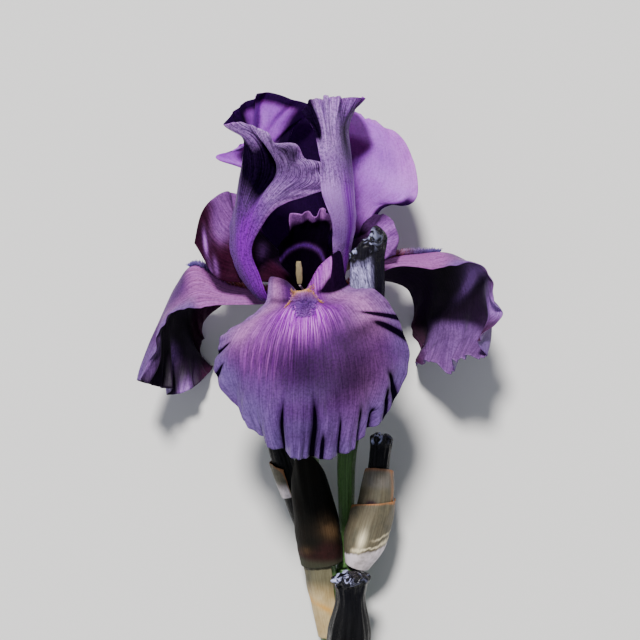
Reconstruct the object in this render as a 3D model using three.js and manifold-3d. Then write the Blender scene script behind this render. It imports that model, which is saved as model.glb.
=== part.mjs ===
// A bearded iris bloom with its stalk and buds, as picked and laid on a table.
// Millimetres, +Z up. +Y runs from the stalk's cut end to the top of the bloom, and +X is the
// bloom's right as it is seen from above. Sheets and axes are given in the heart's own frame,
// whose origin is the centre of the disc where the petals meet.
import * as THREE from "three";
import { mergeVertices } from "three/addons/utils/BufferGeometryUtils.js";
import Module from "manifold-3d";

// Driving dimensions
const HEART = [-6, 48.5, 46]; // the heart above the middle of the object's footprint
const TABLE = -HEART[2]; // height of the table in the heart's frame
const LEAN = THREE.MathUtils.degToRad(15); // rise of the bloom's own axis above the table
const PETAL_THICKNESS = 0.8;
const STYLE_THICKNESS = 1;
const BRACT_THICKNESS = 0.7;
const DISC_RADIUS = 6.8; // top of the perianth tube
const PETAL_RING = 6.2; // radius on which the six petals grow
const PETAL_RING_HEIGHT = 0.7;
const CLAW_HALF_ANGLE = 22; // degrees of the ring that half a petal takes
const STYLE_RING = 2.2;
const STYLE_HALF_ANGLE = 40;
const STAMEN_RING = 4.3;

const FALL_AZIMUTHS = { front: 0, left: -115, right: 115 };
const STANDARD_AZIMUTHS = { left: -60, right: 60, back: 180 };

// Small vector helpers on [x, y, z] arrays
const add = (a, b, scale = 1) => a.map((value, axis) => value + scale * b[axis]);
const cross = (a, b) => [
  a[1] * b[2] - a[2] * b[1],
  a[2] * b[0] - a[0] * b[2],
  a[0] * b[1] - a[1] * b[0],
];
const unit = (a) => a.map((value) => value / Math.hypot(...a));
const clamp = (value, low, high) => Math.min(Math.max(value, low), high);
const mix = (a, b, share) => a + (b - a) * share;
const smooth = (low, high, value) => THREE.MathUtils.smoothstep(value, low, high);

const UP_THE_BLOOM = [0, Math.cos(LEAN), Math.sin(LEAN)];
const FRONT = [0, -Math.sin(LEAN), Math.cos(LEAN)];

// A point of the bloom by its radius, its azimuth in degrees from the front, and its height
function around(radius, azimuth, height) {
  const angle = THREE.MathUtils.degToRad(azimuth);
  const side = [radius * Math.sin(angle), 0, 0];
  return add(add(side, FRONT, radius * Math.cos(angle)), UP_THE_BLOOM, height);
}

// Five points of an arc about the bloom's axis, in the order of growing azimuth
function ring(radius, azimuth, height, halfAngle) {
  return [-1, -0.5, 0, 0.5, 1].map((share) => around(radius, azimuth + share * halfAngle, height));
}

// The point at share t of a smooth curve through evenly spaced points or numbers
function through(points, t) {
  const last = points.length - 1;
  const start = clamp(Math.floor(t * last), 0, last - 1);
  const s = t * last - start;
  const weights = [
    ((2 - s) * s - 1) * s * 0.5,
    ((3 * s - 5) * s * s + 2) * 0.5,
    ((4 - 3 * s) * s + 1) * s * 0.5,
    (s - 1) * s * s * 0.5,
  ];
  const at = (index, axis) => {
    const value = (i) => (Array.isArray(points[i]) ? points[i][axis] : points[i]);
    if (index < 0) return 2 * value(0) - value(1);
    if (index > last) return 2 * value(last) - value(last - 1);
    return value(index);
  };
  const blend = (axis) =>
    weights.reduce((sum, weight, k) => sum + weight * at(start - 1 + k, axis), 0);
  return Array.isArray(points[0]) ? points[0].map((_, axis) => blend(axis)) : blend(0);
}

// Lifts what would reach below a level, so that it lies flat there
const SETTLE_BLEND = 1.5;
function settle(height, level) {
  const above = height - level;
  if (above > SETTLE_BLEND) return height;
  if (above < -SETTLE_BLEND) return level;
  return level + (above + SETTLE_BLEND) ** 2 / (4 * SETTLE_BLEND);
}

// Unit normal of a surface (u from -1 to 1 across, v from 0 to 1 along) by small differences
function normalOf(surface, u, v) {
  const step = 0.01;
  const across = add(
    surface(clamp(u + step, -1, 1), v),
    surface(clamp(u - step, -1, 1), v),
    -1,
  );
  const along = add(surface(u, clamp(v + step, 0, 1)), surface(u, clamp(v - step, 0, 1)), -1);
  return unit(cross(across, along));
}

// A petal's middle surface: a smooth sheet through rows of five points, with waves and folds that
// radiate from the blade's foot and grow towards its margin, and hollows pressed into it
function petalSurface({ rows, foot, waves, folds = [], hollows = [] }) {
  const plain = (u, v) =>
    through(
      rows[0].map((_, column) =>
        through(
          rows.map((row) => row[column]),
          v,
        ),
      ),
      (u + 1) / 2,
    );
  const relief = (u, v) => {
    const along = Math.max(0, (v - foot) / (1 - foot));
    const reach = (u ** 4 + along ** 4) ** 0.25;
    const angle = Math.atan2(u, along);
    let total = 0;
    for (const { size, count, phase, from } of waves)
      total += size * smooth(from, 1, reach) * along ** 0.5 * Math.sin(count * angle + phase);
    for (const { at, width, depth, from } of folds) {
      const off = (THREE.MathUtils.radToDeg(angle) - at) / width;
      total += depth * smooth(from, 1, reach) * Math.exp(-off * off);
    }
    for (const { across, up, width, run, depth } of hollows)
      total += depth * Math.exp(-(((u - across) / width) ** 2) - ((v - up) / run) ** 2);
    return total;
  };
  return (u, v) => {
    const point = add(plain(u, v), normalOf(plain, u, v), relief(u, v));
    point[2] = settle(point[2], TABLE + PETAL_THICKNESS / 2);
    return point;
  };
}

// A closed solid between a lower and an upper skin, split alike on both
function slab(lower, upper, columns, rows) {
  const positions = [];
  const index = [];
  const width = columns + 1;
  for (const skin of [lower, upper])
    for (let j = 0; j <= rows; j++)
      for (let i = 0; i <= columns; i++) positions.push(...skin((2 * i) / columns - 1, j / rows));
  const top = width * (rows + 1);
  const at = (i, j) => j * width + i;
  const quad = (a, b, c, d) => index.push(a, b, c, a, c, d);
  for (let j = 0; j < rows; j++)
    for (let i = 0; i < columns; i++) {
      const [a, b, c, d] = [at(i, j), at(i + 1, j), at(i + 1, j + 1), at(i, j + 1)];
      quad(top + a, top + b, top + c, top + d);
      index.push(a, c, b, a, d, c);
    }
  for (let i = 0; i < columns; i++) {
    quad(at(i, 0), at(i + 1, 0), top + at(i + 1, 0), top + at(i, 0));
    quad(at(i + 1, rows), at(i, rows), top + at(i, rows), top + at(i + 1, rows));
  }
  for (let j = 0; j < rows; j++) {
    quad(at(0, j + 1), at(0, j), top + at(0, j), top + at(0, j + 1));
    quad(at(columns, j), at(columns, j + 1), top + at(columns, j + 1), top + at(columns, j));
  }
  return geometryOf(positions, index);
}

function geometryOf(positions, index) {
  const geometry = new THREE.BufferGeometry();
  geometry.setAttribute("position", new THREE.Float32BufferAttribute(positions, 3));
  geometry.setIndex(index);
  geometry.computeVertexNormals();
  return geometry;
}

// A sheet of even thickness about its middle surface
function sheet(surface, thickness, columns, rows) {
  const skin = (side) => (u, v) =>
    add(surface(u, v), normalOf(surface, u, v), (side * thickness) / 2);
  return slab(skin(-1), skin(1), columns, rows);
}

// A closed tube along a curve of points, whose radius depends on the share along it and the angle
function loft({ axis, radius, sides, steps, across = [0, 0, 1] }) {
  const positions = [];
  const index = [];
  const step = 0.002;
  for (let j = 0; j <= steps; j++) {
    const t = j / steps;
    const centre = through(axis, t);
    const along = unit(
      add(through(axis, clamp(t + step, 0, 1)), through(axis, clamp(t - step, 0, 1)), -1),
    );
    const right = unit(cross(along, across));
    const forward = cross(right, along);
    for (let i = 0; i < sides; i++) {
      const angle = (2 * Math.PI * i) / sides;
      const reach = radius(t, angle);
      positions.push(
        ...add(add(centre, right, reach * Math.cos(angle)), forward, reach * Math.sin(angle)),
      );
    }
  }
  positions.push(...axis[0], ...axis[axis.length - 1]);
  const first = (steps + 1) * sides;
  for (let i = 0; i < sides; i++) {
    const next = (i + 1) % sides;
    for (let j = 0; j < steps; j++) {
      const [a, b] = [j * sides + i, j * sides + next];
      index.push(a, a + sides, b + sides, a, b + sides, b);
    }
    index.push(first, i, next);
    index.push(first + 1, steps * sides + next, steps * sides + i);
  }
  return geometryOf(positions, index);
}

// Joins overlapping closed geometries into one
const wasm = await Module();
wasm.setup();
function solidOf(geometry) {
  const bare = geometry.clone();
  bare.deleteAttribute("normal");
  const merged = mergeVertices(bare);
  return new wasm.Manifold(
    new wasm.Mesh({
      numProp: 3,
      vertProperties: new Float32Array(merged.attributes.position.array),
      triVerts: new Uint32Array(merged.index.array),
    }),
  );
}
function joined(geometries) {
  const mesh = geometries
    .map(solidOf)
    .reduce((whole, piece) => whole.add(piece))
    .getMesh();
  return geometryOf(Array.from(mesh.vertProperties), Array.from(mesh.triVerts));
}

// Materials
const material = (color, roughness) =>
  new THREE.MeshStandardMaterial({ color, roughness, metalness: 0 });
const velvet = material("#4b2358", 0.75);
const violet = material("#5c2c74", 0.7);
const furled = material("#16101c", 0.6);
const beardHair = material("#b06a2c", 0.9);
const cream = material("#cdbd88", 0.7);
const green = material("#5d8447", 0.6);
const papery = material("#b39a7c", 0.85);

const flower = new THREE.Group();
flower.position.set(...HEART);
function place(name, geometry, finish) {
  const mesh = new THREE.Mesh(geometry, finish);
  mesh.name = name;
  flower.add(mesh);
}

// Falls: rows from the claw to the blade's lower margin, seen from outside from left to right
const claw = (azimuth) => ring(PETAL_RING, azimuth, PETAL_RING_HEIGHT, CLAW_HALF_ANGLE);
const falls = {
  front: petalSurface({
    rows: [
      claw(FALL_AZIMUTHS.front),
      [[-13.2, 7.5, 11.5], [-8.2, 6, 12], [-1, 1, 14.8], [6, 11.5, 15.6], [13.2, 17.5, 19]],
      [[-15.6, -3.2, 20.6], [-8, -3.4, 24], [0, -1, 26], [7.5, -1.6, 25.5], [17, 4, 24]],
      [[-26.5, -11, 22], [-13, -9, 28.5], [0, -9, 31], [14, -5, 30], [27.5, 2, 27]],
      [[-33.5, -19, 23], [-18, -18, 32], [0, -22, 35], [19, -15, 33], [36, -7, 24]],
      [[-34.5, -29, 24], [-20, -31, 34], [0, -36, 37.5], [22, -28, 35], [40.5, -22.5, 22]],
      [[-30.5, -39.5, 26], [-19, -44, 34], [0, -50, 38.5], [22, -42, 35], [38, -36.5, 23]],
      [[-24, -48.5, 29], [-14.5, -56.5, 33], [-1, -63.5, 36], [18, -60, 33], [31, -48, 27]],
    ],
    foot: 0.3,
    waves: [
      { size: 1.5, count: 21, phase: 0.4, from: 0.55 },
      { size: 1.4, count: 9, phase: 2.1, from: 0.4 },
    ],
    folds: [
      { at: -15.5, width: 2.4, depth: 3.6, from: 0.65 },
      { at: 7, width: 3.2, depth: 6.5, from: 0.62 },
      { at: 31, width: 2.4, depth: 4, from: 0.82 },
      { at: 49, width: 2.4, depth: 3, from: 0.84 },
      { at: 63, width: 2.4, depth: 2.6, from: 0.72 },
    ],
  }),
  left: petalSurface({
    rows: [
      claw(FALL_AZIMUTHS.left),
      [[-12, 3, -10], [-13, 3.5, -7], [-14, 2.5, -4], [-14.6, 0, -1], [-14.5, -3, 1.5]],
      [[-26, 1, -22], [-29, 6, -16], [-30, 5, -9], [-30.5, 1.5, -3], [-30, -3.5, 1]],
      [[-38, -6, -31], [-42, 8, -23], [-44.5, 12.5, -13], [-44, 6, -5], [-41, -4, 0]],
      [[-43, -12, -40], [-49, -3, -31], [-52, 5, -18], [-52.5, -1, -8], [-48, -6, -2]],
      [[-42.5, -20, -48], [-50, -14, -36], [-56, -6, -22], [-58, -8, -11], [-56.5, -11.5, -2]],
      [[-40, -28, -51], [-49, -25, -37], [-57, -18, -23], [-61, -18, -11], [-60, -20, 0]],
      [[-39, -31, -46], [-49, -39, -28], [-57, -38, -20], [-64, -35, -11], [-67.5, -32, -3]],
    ],
    foot: 0.35,
    waves: [
      { size: 3, count: 9, phase: 0.8, from: 0.5 },
      { size: 1.5, count: 17, phase: 2.4, from: 0.65 },
    ],
  }),
  right: petalSurface({
    rows: [
      claw(FALL_AZIMUTHS.right),
      [[14.5, -1, 1.5], [14.6, 1.5, -1], [14, 3, -4], [13, 3.5, -7], [12, 3, -10]],
      [[34, 11, 0], [33, 13.5, -4], [31, 14, -9], [30, 12.5, -15], [29, 6.5, -21]],
      [[48, 11.5, -1], [48, 15, -6], [46, 17, -13], [43.5, 13, -23], [41, 4, -31]],
      [[59, 12.5, 2], [60.5, 16, -5], [58, 16.5, -15], [53, 10, -28], [45, -3, -39]],
      [[71, 8.5, 6], [71, 9, -5], [66, 6, -18], [57, -1, -33], [45, -11, -47]],
      [[75, 0, 7], [73, -0.5, -7], [67, -5, -20], [56, -11, -36], [45, -19, -51]],
      [[78.5, -8.5, 5], [73.5, -10, -7], [67, -14, -19], [56, -19, -34], [45, -25, -49]],
      [[72, -18.5, 10], [68, -22.5, 5], [61, -27.5, -1], [52, -28, -16], [46, -29, -34]],
    ],
    foot: 0.35,
    waves: [
      { size: 3, count: 9, phase: 2.6, from: 0.5 },
      { size: 1.5, count: 17, phase: 0.7, from: 0.65 },
    ],
  }),
};

// Standards: rows from the claw to the top margin, seen from outside from left to right
const standards = {
  left: petalSurface({
    rows: [
      claw(STANDARD_AZIMUTHS.left),
      [[-14, 1.5, 3], [-13, 0.2, 5], [-11.5, -0.8, 7.2], [-9.6, -1.2, 9], [-7.6, -1, 10.4]],
      [[-20.5, 1.8, 6], [-19.5, 0, 8.5], [-17.8, -1.7, 11], [-15.8, -2.2, 13], [-13.5, -1.8, 14.6]],
      [[-26, 8, 10.5], [-24.5, 7, 13.5], [-22.3, 6, 16], [-19.8, 6.2, 17.8], [-17.6, 8, 19]],
      [[-29, 18, 13], [-27.5, 17, 16.5], [-25.5, 16, 20], [-23, 17, 22], [-20.5, 19, 22.5]],
      [[-28, 32, 8], [-28, 30, 16], [-26, 28, 23], [-20, 30, 27], [-12.5, 32.5, 28.5]],
      [[-22, 43, -2], [-26, 42, 9], [-25, 40.5, 22.5], [-14, 41, 31], [-2, 37.5, 31]],
      [[-12, 56, -6], [-22, 54, 4], [-24, 52, 21], [-10, 48, 32], [9, 42, 28]],
      [[-4, 68, -4], [-19, 67, 3], [-24, 62, 21], [-12, 55, 31], [9, 48, 27]],
      [[4, 76, -1], [-18, 80, 6], [-29, 69, 23], [-15.5, 64.5, 28], [6, 50, 27]],
    ],
    foot: 0.4,
    waves: [
      { size: 2.2, count: 9, phase: 1.2, from: 0.5 },
      { size: 0.9, count: 20, phase: 0.3, from: 0.65 },
    ],
    folds: [
      { at: 33, width: 2.6, depth: -3.4, from: 0.75 },
      { at: 42, width: 2.6, depth: -3.4, from: 0.78 },
      { at: -30, width: 6, depth: 3, from: 0.8 },
    ],
    hollows: [{ across: 0.25, up: 0.77, width: 0.19, run: 0.14, depth: -12 }],
  }),
  right: petalSurface({
    rows: [
      claw(STANDARD_AZIMUTHS.right),
      [[8.5, -0.5, 9.5], [9.7, -0.6, 8], [10.6, -0.3, 6], [11.2, 0.4, 4], [11.6, 1.2, 2]],
      [[10.5, 1.5, 12.5], [12, 0.5, 11], [13.2, 0.5, 8.8], [14, 1.5, 6], [14.5, 3, 3.5]],
      [[12, 9, 14], [13.8, 8, 12.5], [15, 8, 10], [16, 9, 7], [16.5, 11, 3.5]],
      [[11, 18, 17], [13.8, 18, 15.5], [16, 18, 12.5], [17.6, 19, 8.5], [18.8, 21, 4]],
      [[10.5, 28.5, 27], [13.5, 28.5, 26], [17, 28.5, 21.5], [19.5, 30, 14], [20, 33, 5]],
      [[6.5, 40, 36], [11, 40, 35], [15.5, 39.5, 31], [19, 42, 20], [19, 46, 5]],
      [[6, 52, 37], [9.5, 52, 36], [13.5, 52, 33], [18, 54, 20], [16, 58, 4]],
      [[3.5, 64, 33.5], [8, 65, 33.5], [11.5, 64.5, 31], [17, 67, 20], [15, 69, 5]],
      [[-1.5, 71.5, 28], [6, 77.5, 28.5], [12.5, 77, 28], [24, 77, 19], [14, 74, 6]],
    ],
    foot: 0.45,
    waves: [
      { size: 1.1, count: 9, phase: 0.2, from: 0.55 },
      { size: 0.6, count: 18, phase: 1.3, from: 0.7 },
    ],
    folds: [
      { at: -26, width: 5, depth: -4, from: 0.78 },
      { at: 9, width: 4, depth: -4, from: 0.8 },
    ],
  }),
  back: petalSurface({
    rows: [
      claw(STANDARD_AZIMUTHS.back),
      [[6.8, 4.6, -9.8], [3.5, 5.2, -11.4], [0, 5.3, -12], [-3.5, 5.2, -11.4], [-6.8, 4.6, -9.8]],
      [[12.5, 14, -12.5], [6.5, 14.8, -15.5], [1, 15, -17], [-5.5, 14.8, -16.5], [-12, 14, -15]],
      [[25, 26, -13], [13, 27, -15.5], [2, 27, -17], [-10, 27, -18], [-21, 26.5, -18]],
      [[32, 36, -8], [18, 38, -11], [2, 39, -16], [-14, 38, -18.5], [-27, 38, -19]],
      [[44, 38, -1], [23, 48, -6], [2, 50, -14], [-13.5, 49, -18], [-22, 50, -18]],
      [[44.5, 51, -3], [25, 58, -7], [1, 61, -14], [-17, 58, -17], [-36.5, 56.5, -14]],
      [[39.5, 64, -8], [23, 68, -9], [1, 70, -13], [-14, 68, -16], [-25.5, 61.5, -15]],
      [[30, 71, -13], [18, 74, -12], [2, 76, -13], [-11, 73, -15], [-22, 69, -17]],
    ],
    foot: 0.35,
    waves: [
      { size: 1.3, count: 8, phase: 2.4, from: 0.55 },
      { size: 0.5, count: 18, phase: 0.5, from: 0.7 },
    ],
  }),
};

// Facets across and along each sheet
const FALL_GRIDS = { front: [28, 16], left: [20, 16], right: [20, 16] };
const STANDARD_GRID = [20, 16];
const BEARD_GRID = [4, 12];
const STYLE_GRID = [10, 11];
const BRACT_GRID = [10, 8];

for (const [name, surface] of Object.entries(falls))
  place("fall_" + name, sheet(surface, PETAL_THICKNESS, ...FALL_GRIDS[name]), velvet);
for (const [name, surface] of Object.entries(standards))
  place("standard_" + name, sheet(surface, PETAL_THICKNESS, ...STANDARD_GRID), velvet);

// Beards: a raised, tufted strip of hairs along each fall's midrib, upper side out
const BEARD_WIDTH = 0.1; // share of the fall's half width
const BEARD_RUN = [0.13, 0.46]; // from the throat to the blade
const BEARD_HEIGHT = 2.2;
const BEARD_RIM = 0.3;
const BEARD_GAP = PETAL_THICKNESS / 2 + 0.45; // clears the facets of the curved fall
const TUFT_DEPTH = 0.15; // share of the beard's height
const TUFT_COUNT = 40; // radians of tufts along the beard
for (const [name, surface] of Object.entries(falls)) {
  const skin = (height) => (u, v) => {
    const across = u * BEARD_WIDTH;
    const along = mix(...BEARD_RUN, v);
    return add(surface(across, along), normalOf(surface, across, along), -BEARD_GAP - height(u, v));
  };
  const crown = (u, v) => {
    const tuft = 1 - TUFT_DEPTH * (1 - Math.cos(TUFT_COUNT * v));
    const arch = Math.sqrt(1 - u * u) * Math.sin(Math.PI * v) ** 0.4;
    return BEARD_RIM + BEARD_HEIGHT * arch * tuft;
  };
  place("beard_" + name, slab(skin(crown), skin(() => 0), ...BEARD_GRID), beardHair);
}

// Style arms: petal-like straps that arch over the stamens and end in two upturned crests
const styleRoot = (azimuth) =>
  ring(STYLE_RING, azimuth, PETAL_RING_HEIGHT, STYLE_HALF_ANGLE);
const styles = {
  front: [
    styleRoot(FALL_AZIMUTHS.front),
    [[-5, 7.6, 9], [-3, 8.4, 7.8], [0, 8.6, 7], [3, 8.2, 8], [5, 7.4, 9.2]],
    [[-9.5, 12.8, 14], [-6, 15.2, 12], [-1, 17, 10.5], [4.5, 15.5, 11.5], [7.5, 12.5, 13.5]],
    [[-9.5, 19, 20], [-6, 21.5, 16.5], [0.6, 23, 14.5], [6.5, 21.5, 16.5], [9, 19.5, 19.5]],
    [[-6.5, 25.5, 22], [-2.5, 27.5, 19], [2.5, 28, 18], [7.5, 28.5, 18.5], [10.5, 26.5, 20]],
    [[-5, 31, 26], [-1, 32.5, 24], [3.5, 31.5, 23], [8, 33.5, 23], [10, 31.5, 24]],
  ],
  left: [
    styleRoot(FALL_AZIMUTHS.left),
    [[-4, 8.5, -6.5], [-6, 10.5, -3.2], [-7, 10.5, 0], [-8, 8.4, 3.4], [-8, 4.2, 6]],
    [[-9.5, 17, -11], [-12.5, 20, -6], [-14, 20.5, -0.8], [-16, 15.5, 4.4], [-17, 5.6, 7.2]],
    [[-17, 24, -14], [-21, 27, -8], [-23, 26.5, -2], [-26, 18, 4.2], [-27.5, 5.5, 7]],
    [[-23, 33, -14], [-27, 34, -9.5], [-30, 32.5, -4], [-35, 23, 3], [-36.5, 8.5, 7]],
    [[-25, 40.5, -12], [-29.5, 42, -8], [-34.5, 41, -4], [-41, 34, 1], [-44, 21, 5.5]],
  ],
  right: [
    styleRoot(FALL_AZIMUTHS.right),
    [[7, 6.5, 3.6], [7.4, 9, 2.4], [7, 10.5, 0], [6, 10.5, -3.2], [4, 8.5, -6.5]],
    [[13.3, 12.5, 1], [14.2, 17, -0.5], [14, 20, -3], [12.8, 20, -7], [10.5, 17, -11]],
    [[22.5, 14, 0], [22, 19.5, -2], [21, 22.5, -4.5], [20.4, 23, -7], [18.5, 21.5, -9]],
    [[31, 14.5, 1], [30.5, 20.5, -1], [28.5, 25.5, -3.5], [26, 27.5, -6], [23, 28, -8]],
    [[36.5, 16, 2], [37.2, 24, 0], [35.2, 30, -2], [31.5, 33, -4.5], [28, 33, -6.5]],
  ],
};
for (const [name, rows] of Object.entries(styles)) {
  const surface = petalSurface({
    rows,
    foot: 0.5,
    waves: [{ size: 1.3, count: 11, phase: 0.9, from: 0.4 }],
  });
  place("style_" + name, sheet(surface, STYLE_THICKNESS, ...STYLE_GRID), violet);
}

// Stamens: a bare stalk from the disc, and a long flat anther between style arm and fall
const STAMENS = {
  front: { bend: [-0.6, 2, 6.6], foot: [-2, 4.2, 11.6], tip: [-2.4, 13.4, 15.6] },
  left: { bend: [-6.4, 3.4, 0], foot: [-13, 7.5, 0.6], tip: [-22.5, 13.2, 1.2] },
  right: { bend: [6.4, 3.6, -0.6], foot: [13, 8.6, -1.6], tip: [21.5, 15.4, -4] },
};
const FILAMENT_RADIUS = 0.6;
const ANTHER_HALF_WIDTH = 1.3;
const ANTHER_HALF_DEPTH = 0.7;
const ANTHER_END = 0.45; // share of its width that its rounded ends keep
const ANTHER_ROUNDING = [0.06, 0.94];
const DISC_GAP = 0.4; // from the disc to a filament's foot
const ANTHER_GAP = 0.5; // from a filament's end to its anther
for (const [name, { bend, foot, tip }] of Object.entries(STAMENS)) {
  const root = around(STAMEN_RING, FALL_AZIMUTHS[name], DISC_GAP);
  const across = name === "front" ? [1, 0, 0] : [0, 0, 1];
  place(
    "filament_" + name,
    loft({ axis: [root, bend, foot], radius: () => FILAMENT_RADIUS, sides: 6, steps: 5, across }),
    cream,
  );
  const start = add(foot, unit(add(tip, foot, -1)), ANTHER_GAP);
  const radius = (t, angle) => {
    const flat = Math.hypot(
      Math.cos(angle) / (name === "front" ? ANTHER_HALF_DEPTH : ANTHER_HALF_WIDTH),
      Math.sin(angle) / (name === "front" ? ANTHER_HALF_WIDTH : ANTHER_HALF_DEPTH),
    );
    const fullness = Math.sin(Math.PI * mix(...ANTHER_ROUNDING, t)) ** 0.5;
    return mix(ANTHER_END, 1, fullness) / flat;
  };
  place("anther_" + name, loft({ axis: [start, tip], radius, sides: 8, steps: 6, across }), cream);
}

// Perianth tube and ovary, from the disc down to the stalk
const TUBE_AXIS = [
  [0, 0, 0],
  add([0, 0, 0], UP_THE_BLOOM, -12),
  [0, -30, -8],
  [0.5, -50, -13.5],
  [1.5, -70, -18.5],
  [4, -88, -22.5],
  [5.5, -97, -24.6],
];
const TUBE_RADII = [DISC_RADIUS, 4.6, 3.9, 3.9, 4.6, 5.4, 4.4];
const OVARY_RIBS = 3;
const OVARY_RIB_DEPTH = 0.05; // share of its radius
const OVARY_FROM = [0.4, 0.7]; // shares of the tube over which the ribs rise
place(
  "ovary_tube",
  loft({
    axis: TUBE_AXIS,
    radius: (t, angle) => {
      const rib = Math.cos(OVARY_RIBS * angle) * smooth(...OVARY_FROM, t);
      return through(TUBE_RADII, t) * (1 + OVARY_RIB_DEPTH * rib);
    },
    sides: 12,
    steps: 14,
  }),
  green,
);

// Stalk: the main stem, flat on the table at its cut end, with a short branch for each bud
const STALK_RADIUS = 4.8;
const STALK_AXIS = [
  [14, -178, TABLE + STALK_RADIUS],
  [13.6, -168, TABLE + STALK_RADIUS],
  [12.6, -156, TABLE + STALK_RADIUS + 1.6],
  [10.6, -138, -34.6],
  [8, -118, -30],
  [6.2, -104, -26.4],
  [5.7, -98, -24.9],
];
const STALK_RADII = [4.8, 4.8, 4.8, 4.8, 5.4, 5, 4.4];
const BRANCHES = [
  {
    axis: [[8.4, -124, -32], [12.5, -119, -32.6], [15.3, -115, -32.3], [15.9, -112.3, -31.6]],
    radii: [3.4, 3.3, 3.2, 3.1],
  },
  {
    axis: [[9.5, -122, -31], [15, -119.5, -28.5], [19.4, -116.3, -25.2], [20.6, -112.3, -23.95]],
    radii: [3.2, 3.4, 3.4, 3.4],
  },
  {
    axis: [[6.6, -113, -28.6], [3, -107.5, -30.6], [0.9, -102, -31], [0.3, -99.5, -31]],
    radii: [3, 2.9, 2.8, 2.8],
  },
  {
    axis: [[13.8, -174, -41], [14.6, -170, -37.5], [15.3, -166, -33.2], [15.6, -163.6, -31]],
    radii: [3.6, 4, 4.1, 4.1],
  },
];
place(
  "stem",
  joined([
    loft({ axis: STALK_AXIS, radius: (t) => through(STALK_RADII, t), sides: 14, steps: 16 }),
    ...BRANCHES.map(({ axis, radii }) =>
      loft({ axis, radius: (t) => through(radii, t), sides: 10, steps: 5 }),
    ),
  ]),
  green,
);

// Buds: furled petals wound about each other, closed at both ends
const BUD_SIDES = 18;
const BUD_FOOT = 0.35; // share of a bud over which its folds rise from the smooth foot
function bud({ axis, radii, folds, twist, depth, steps }) {
  const radius = (t, angle) => {
    const fold = Math.cos(folds * angle + twist * t) * smooth(0, BUD_FOOT, t);
    return through(radii, t) * (1 + depth * fold);
  };
  return loft({ axis, radius, sides: BUD_SIDES, steps });
}
place(
  "bud_upper",
  bud({
    axis: [
      [16.1, -111.3, -31.3],
      [16.8, -98, -28.6],
      [16.8, -82, -22],
      [17, -65, -14.6],
      [20, -42, -4.5],
      [23, -18, 7],
      [24.4, 0, 14],
      [24.5, 14, 19.5],
      [25.5, 28, 23],
    ],
    radii: [3.1, 3, 3.4, 3.8, 4.4, 5.4, 6.8, 6.6, 6.2],
    folds: 3,
    twist: 5,
    depth: 0.07,
    steps: 20,
  }),
  furled,
);
place(
  "bud_right",
  bud({
    axis: [
      [20.8, -111.9, -23.8],
      [25, -98, -19.5],
      [29, -82, -17.5],
      [30, -69, -16],
      [31, -55.5, -14.5],
    ],
    radii: [3.4, 5.6, 5.2, 4.2, 4.6],
    folds: 3,
    twist: 4,
    depth: 0.07,
    steps: 11,
  }),
  furled,
);
place(
  "bud_left",
  bud({
    axis: [
      [0.2, -99.1, -31],
      [-3, -88, -31],
      [-7, -74, -29],
      [-11, -62, -26.5],
      [-13.5, -54.5, -25],
    ],
    radii: [2.8, 4, 4.4, 4.2, 2.4],
    folds: 3,
    twist: 4,
    depth: 0.07,
    steps: 10,
  }),
  furled,
);
place(
  "bud_low",
  bud({
    axis: [
      [15.8, -163, -30.5],
      [17, -150, -22.5],
      [18, -136, -16.5],
      [18.4, -122, -11.5],
      [18.4, -111, -8.2],
    ],
    radii: [4.2, 8.6, 8.8, 6, 8],
    folds: 4,
    twist: 3,
    depth: 0.06,
    steps: 12,
  }),
  furled,
);

// Bracts: papery sheaths wrapped part of the way round what they cover, from one angle to
// another. The tip leans back at both edges, and slants down to the last one.
function bract({ axis, radii, from, to, lean, slant = 0 }) {
  const surface = (u, v) => {
    const angle = THREE.MathUtils.degToRad(mix(from, to, (u + 1) / 2));
    const t = v * (1 - lean * u * u - (slant * (u + 1)) / 2);
    const step = 0.01;
    const along = unit(
      add(through(axis, clamp(t + step, 0, 1)), through(axis, clamp(t - step, 0, 1)), -1),
    );
    const right = unit(cross(along, [0, 0, 1]));
    const forward = cross(right, along);
    const reach = through(radii, t);
    return add(
      add(through(axis, t), right, reach * Math.cos(angle)),
      forward,
      reach * Math.sin(angle),
    );
  };
  return sheet(surface, BRACT_THICKNESS, ...BRACT_GRID);
}
place(
  "spathe_bloom_outer",
  bract({
    axis: [[6.8, -109, -27.5], [5.6, -100, -25.4], [3.2, -84, -21.6], [-0.6, -62, -17]],
    radii: [8.6, 9.2, 8.4, 5.6],
    from: 0,
    to: 190,
    lean: 0.25,
  }),
  papery,
);
place(
  "spathe_stem",
  bract({
    axis: [[10.8, -140, -35], [9.2, -127, -32], [7.4, -114, -28.8], [6.2, -104, -26.4]],
    radii: [5.5, 6.6, 7.6, 7.4],
    from: 62,
    to: 178,
    lean: 0.08,
  }),
  papery,
);
place(
  "spathe_right_inner",
  bract({
    axis: [[22, -107.5, -22.4], [25.4, -97, -19.4], [29, -82, -17.5], [30, -69, -16]],
    radii: [5.2, 7.3, 6.9, 5.6],
    from: -60,
    to: 240,
    lean: 0.12,
  }),
  papery,
);
place(
  "spathe_right_outer",
  bract({
    axis: [[21.3, -110, -23.2], [24.2, -100, -20.2], [27.4, -88, -18.3], [28.8, -80, -17.3]],
    radii: [5, 8.6, 8.6, 8.2],
    from: -10,
    to: 200,
    lean: 0.05,
    slant: 0.28,
  }),
  papery,
);
place(
  "spathe_left",
  bract({
    axis: [[-4.8, -81.5, -30.1], [-7.4, -73, -28.8], [-9.6, -66.5, -27.4]],
    radii: [5, 5.6, 5.4],
    from: 100,
    to: 280,
    lean: 0.25,
  }),
  papery,
);
place(
  "spathe_low",
  bract({
    axis: [[15.75, -163.6, -30.9], [16.8, -153, -24.2], [17.4, -145, -20]],
    radii: [4.9, 9.3, 10.3],
    from: 20,
    to: 220,
    lean: 0.3,
  }),
  papery,
);

export default flower;
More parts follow.
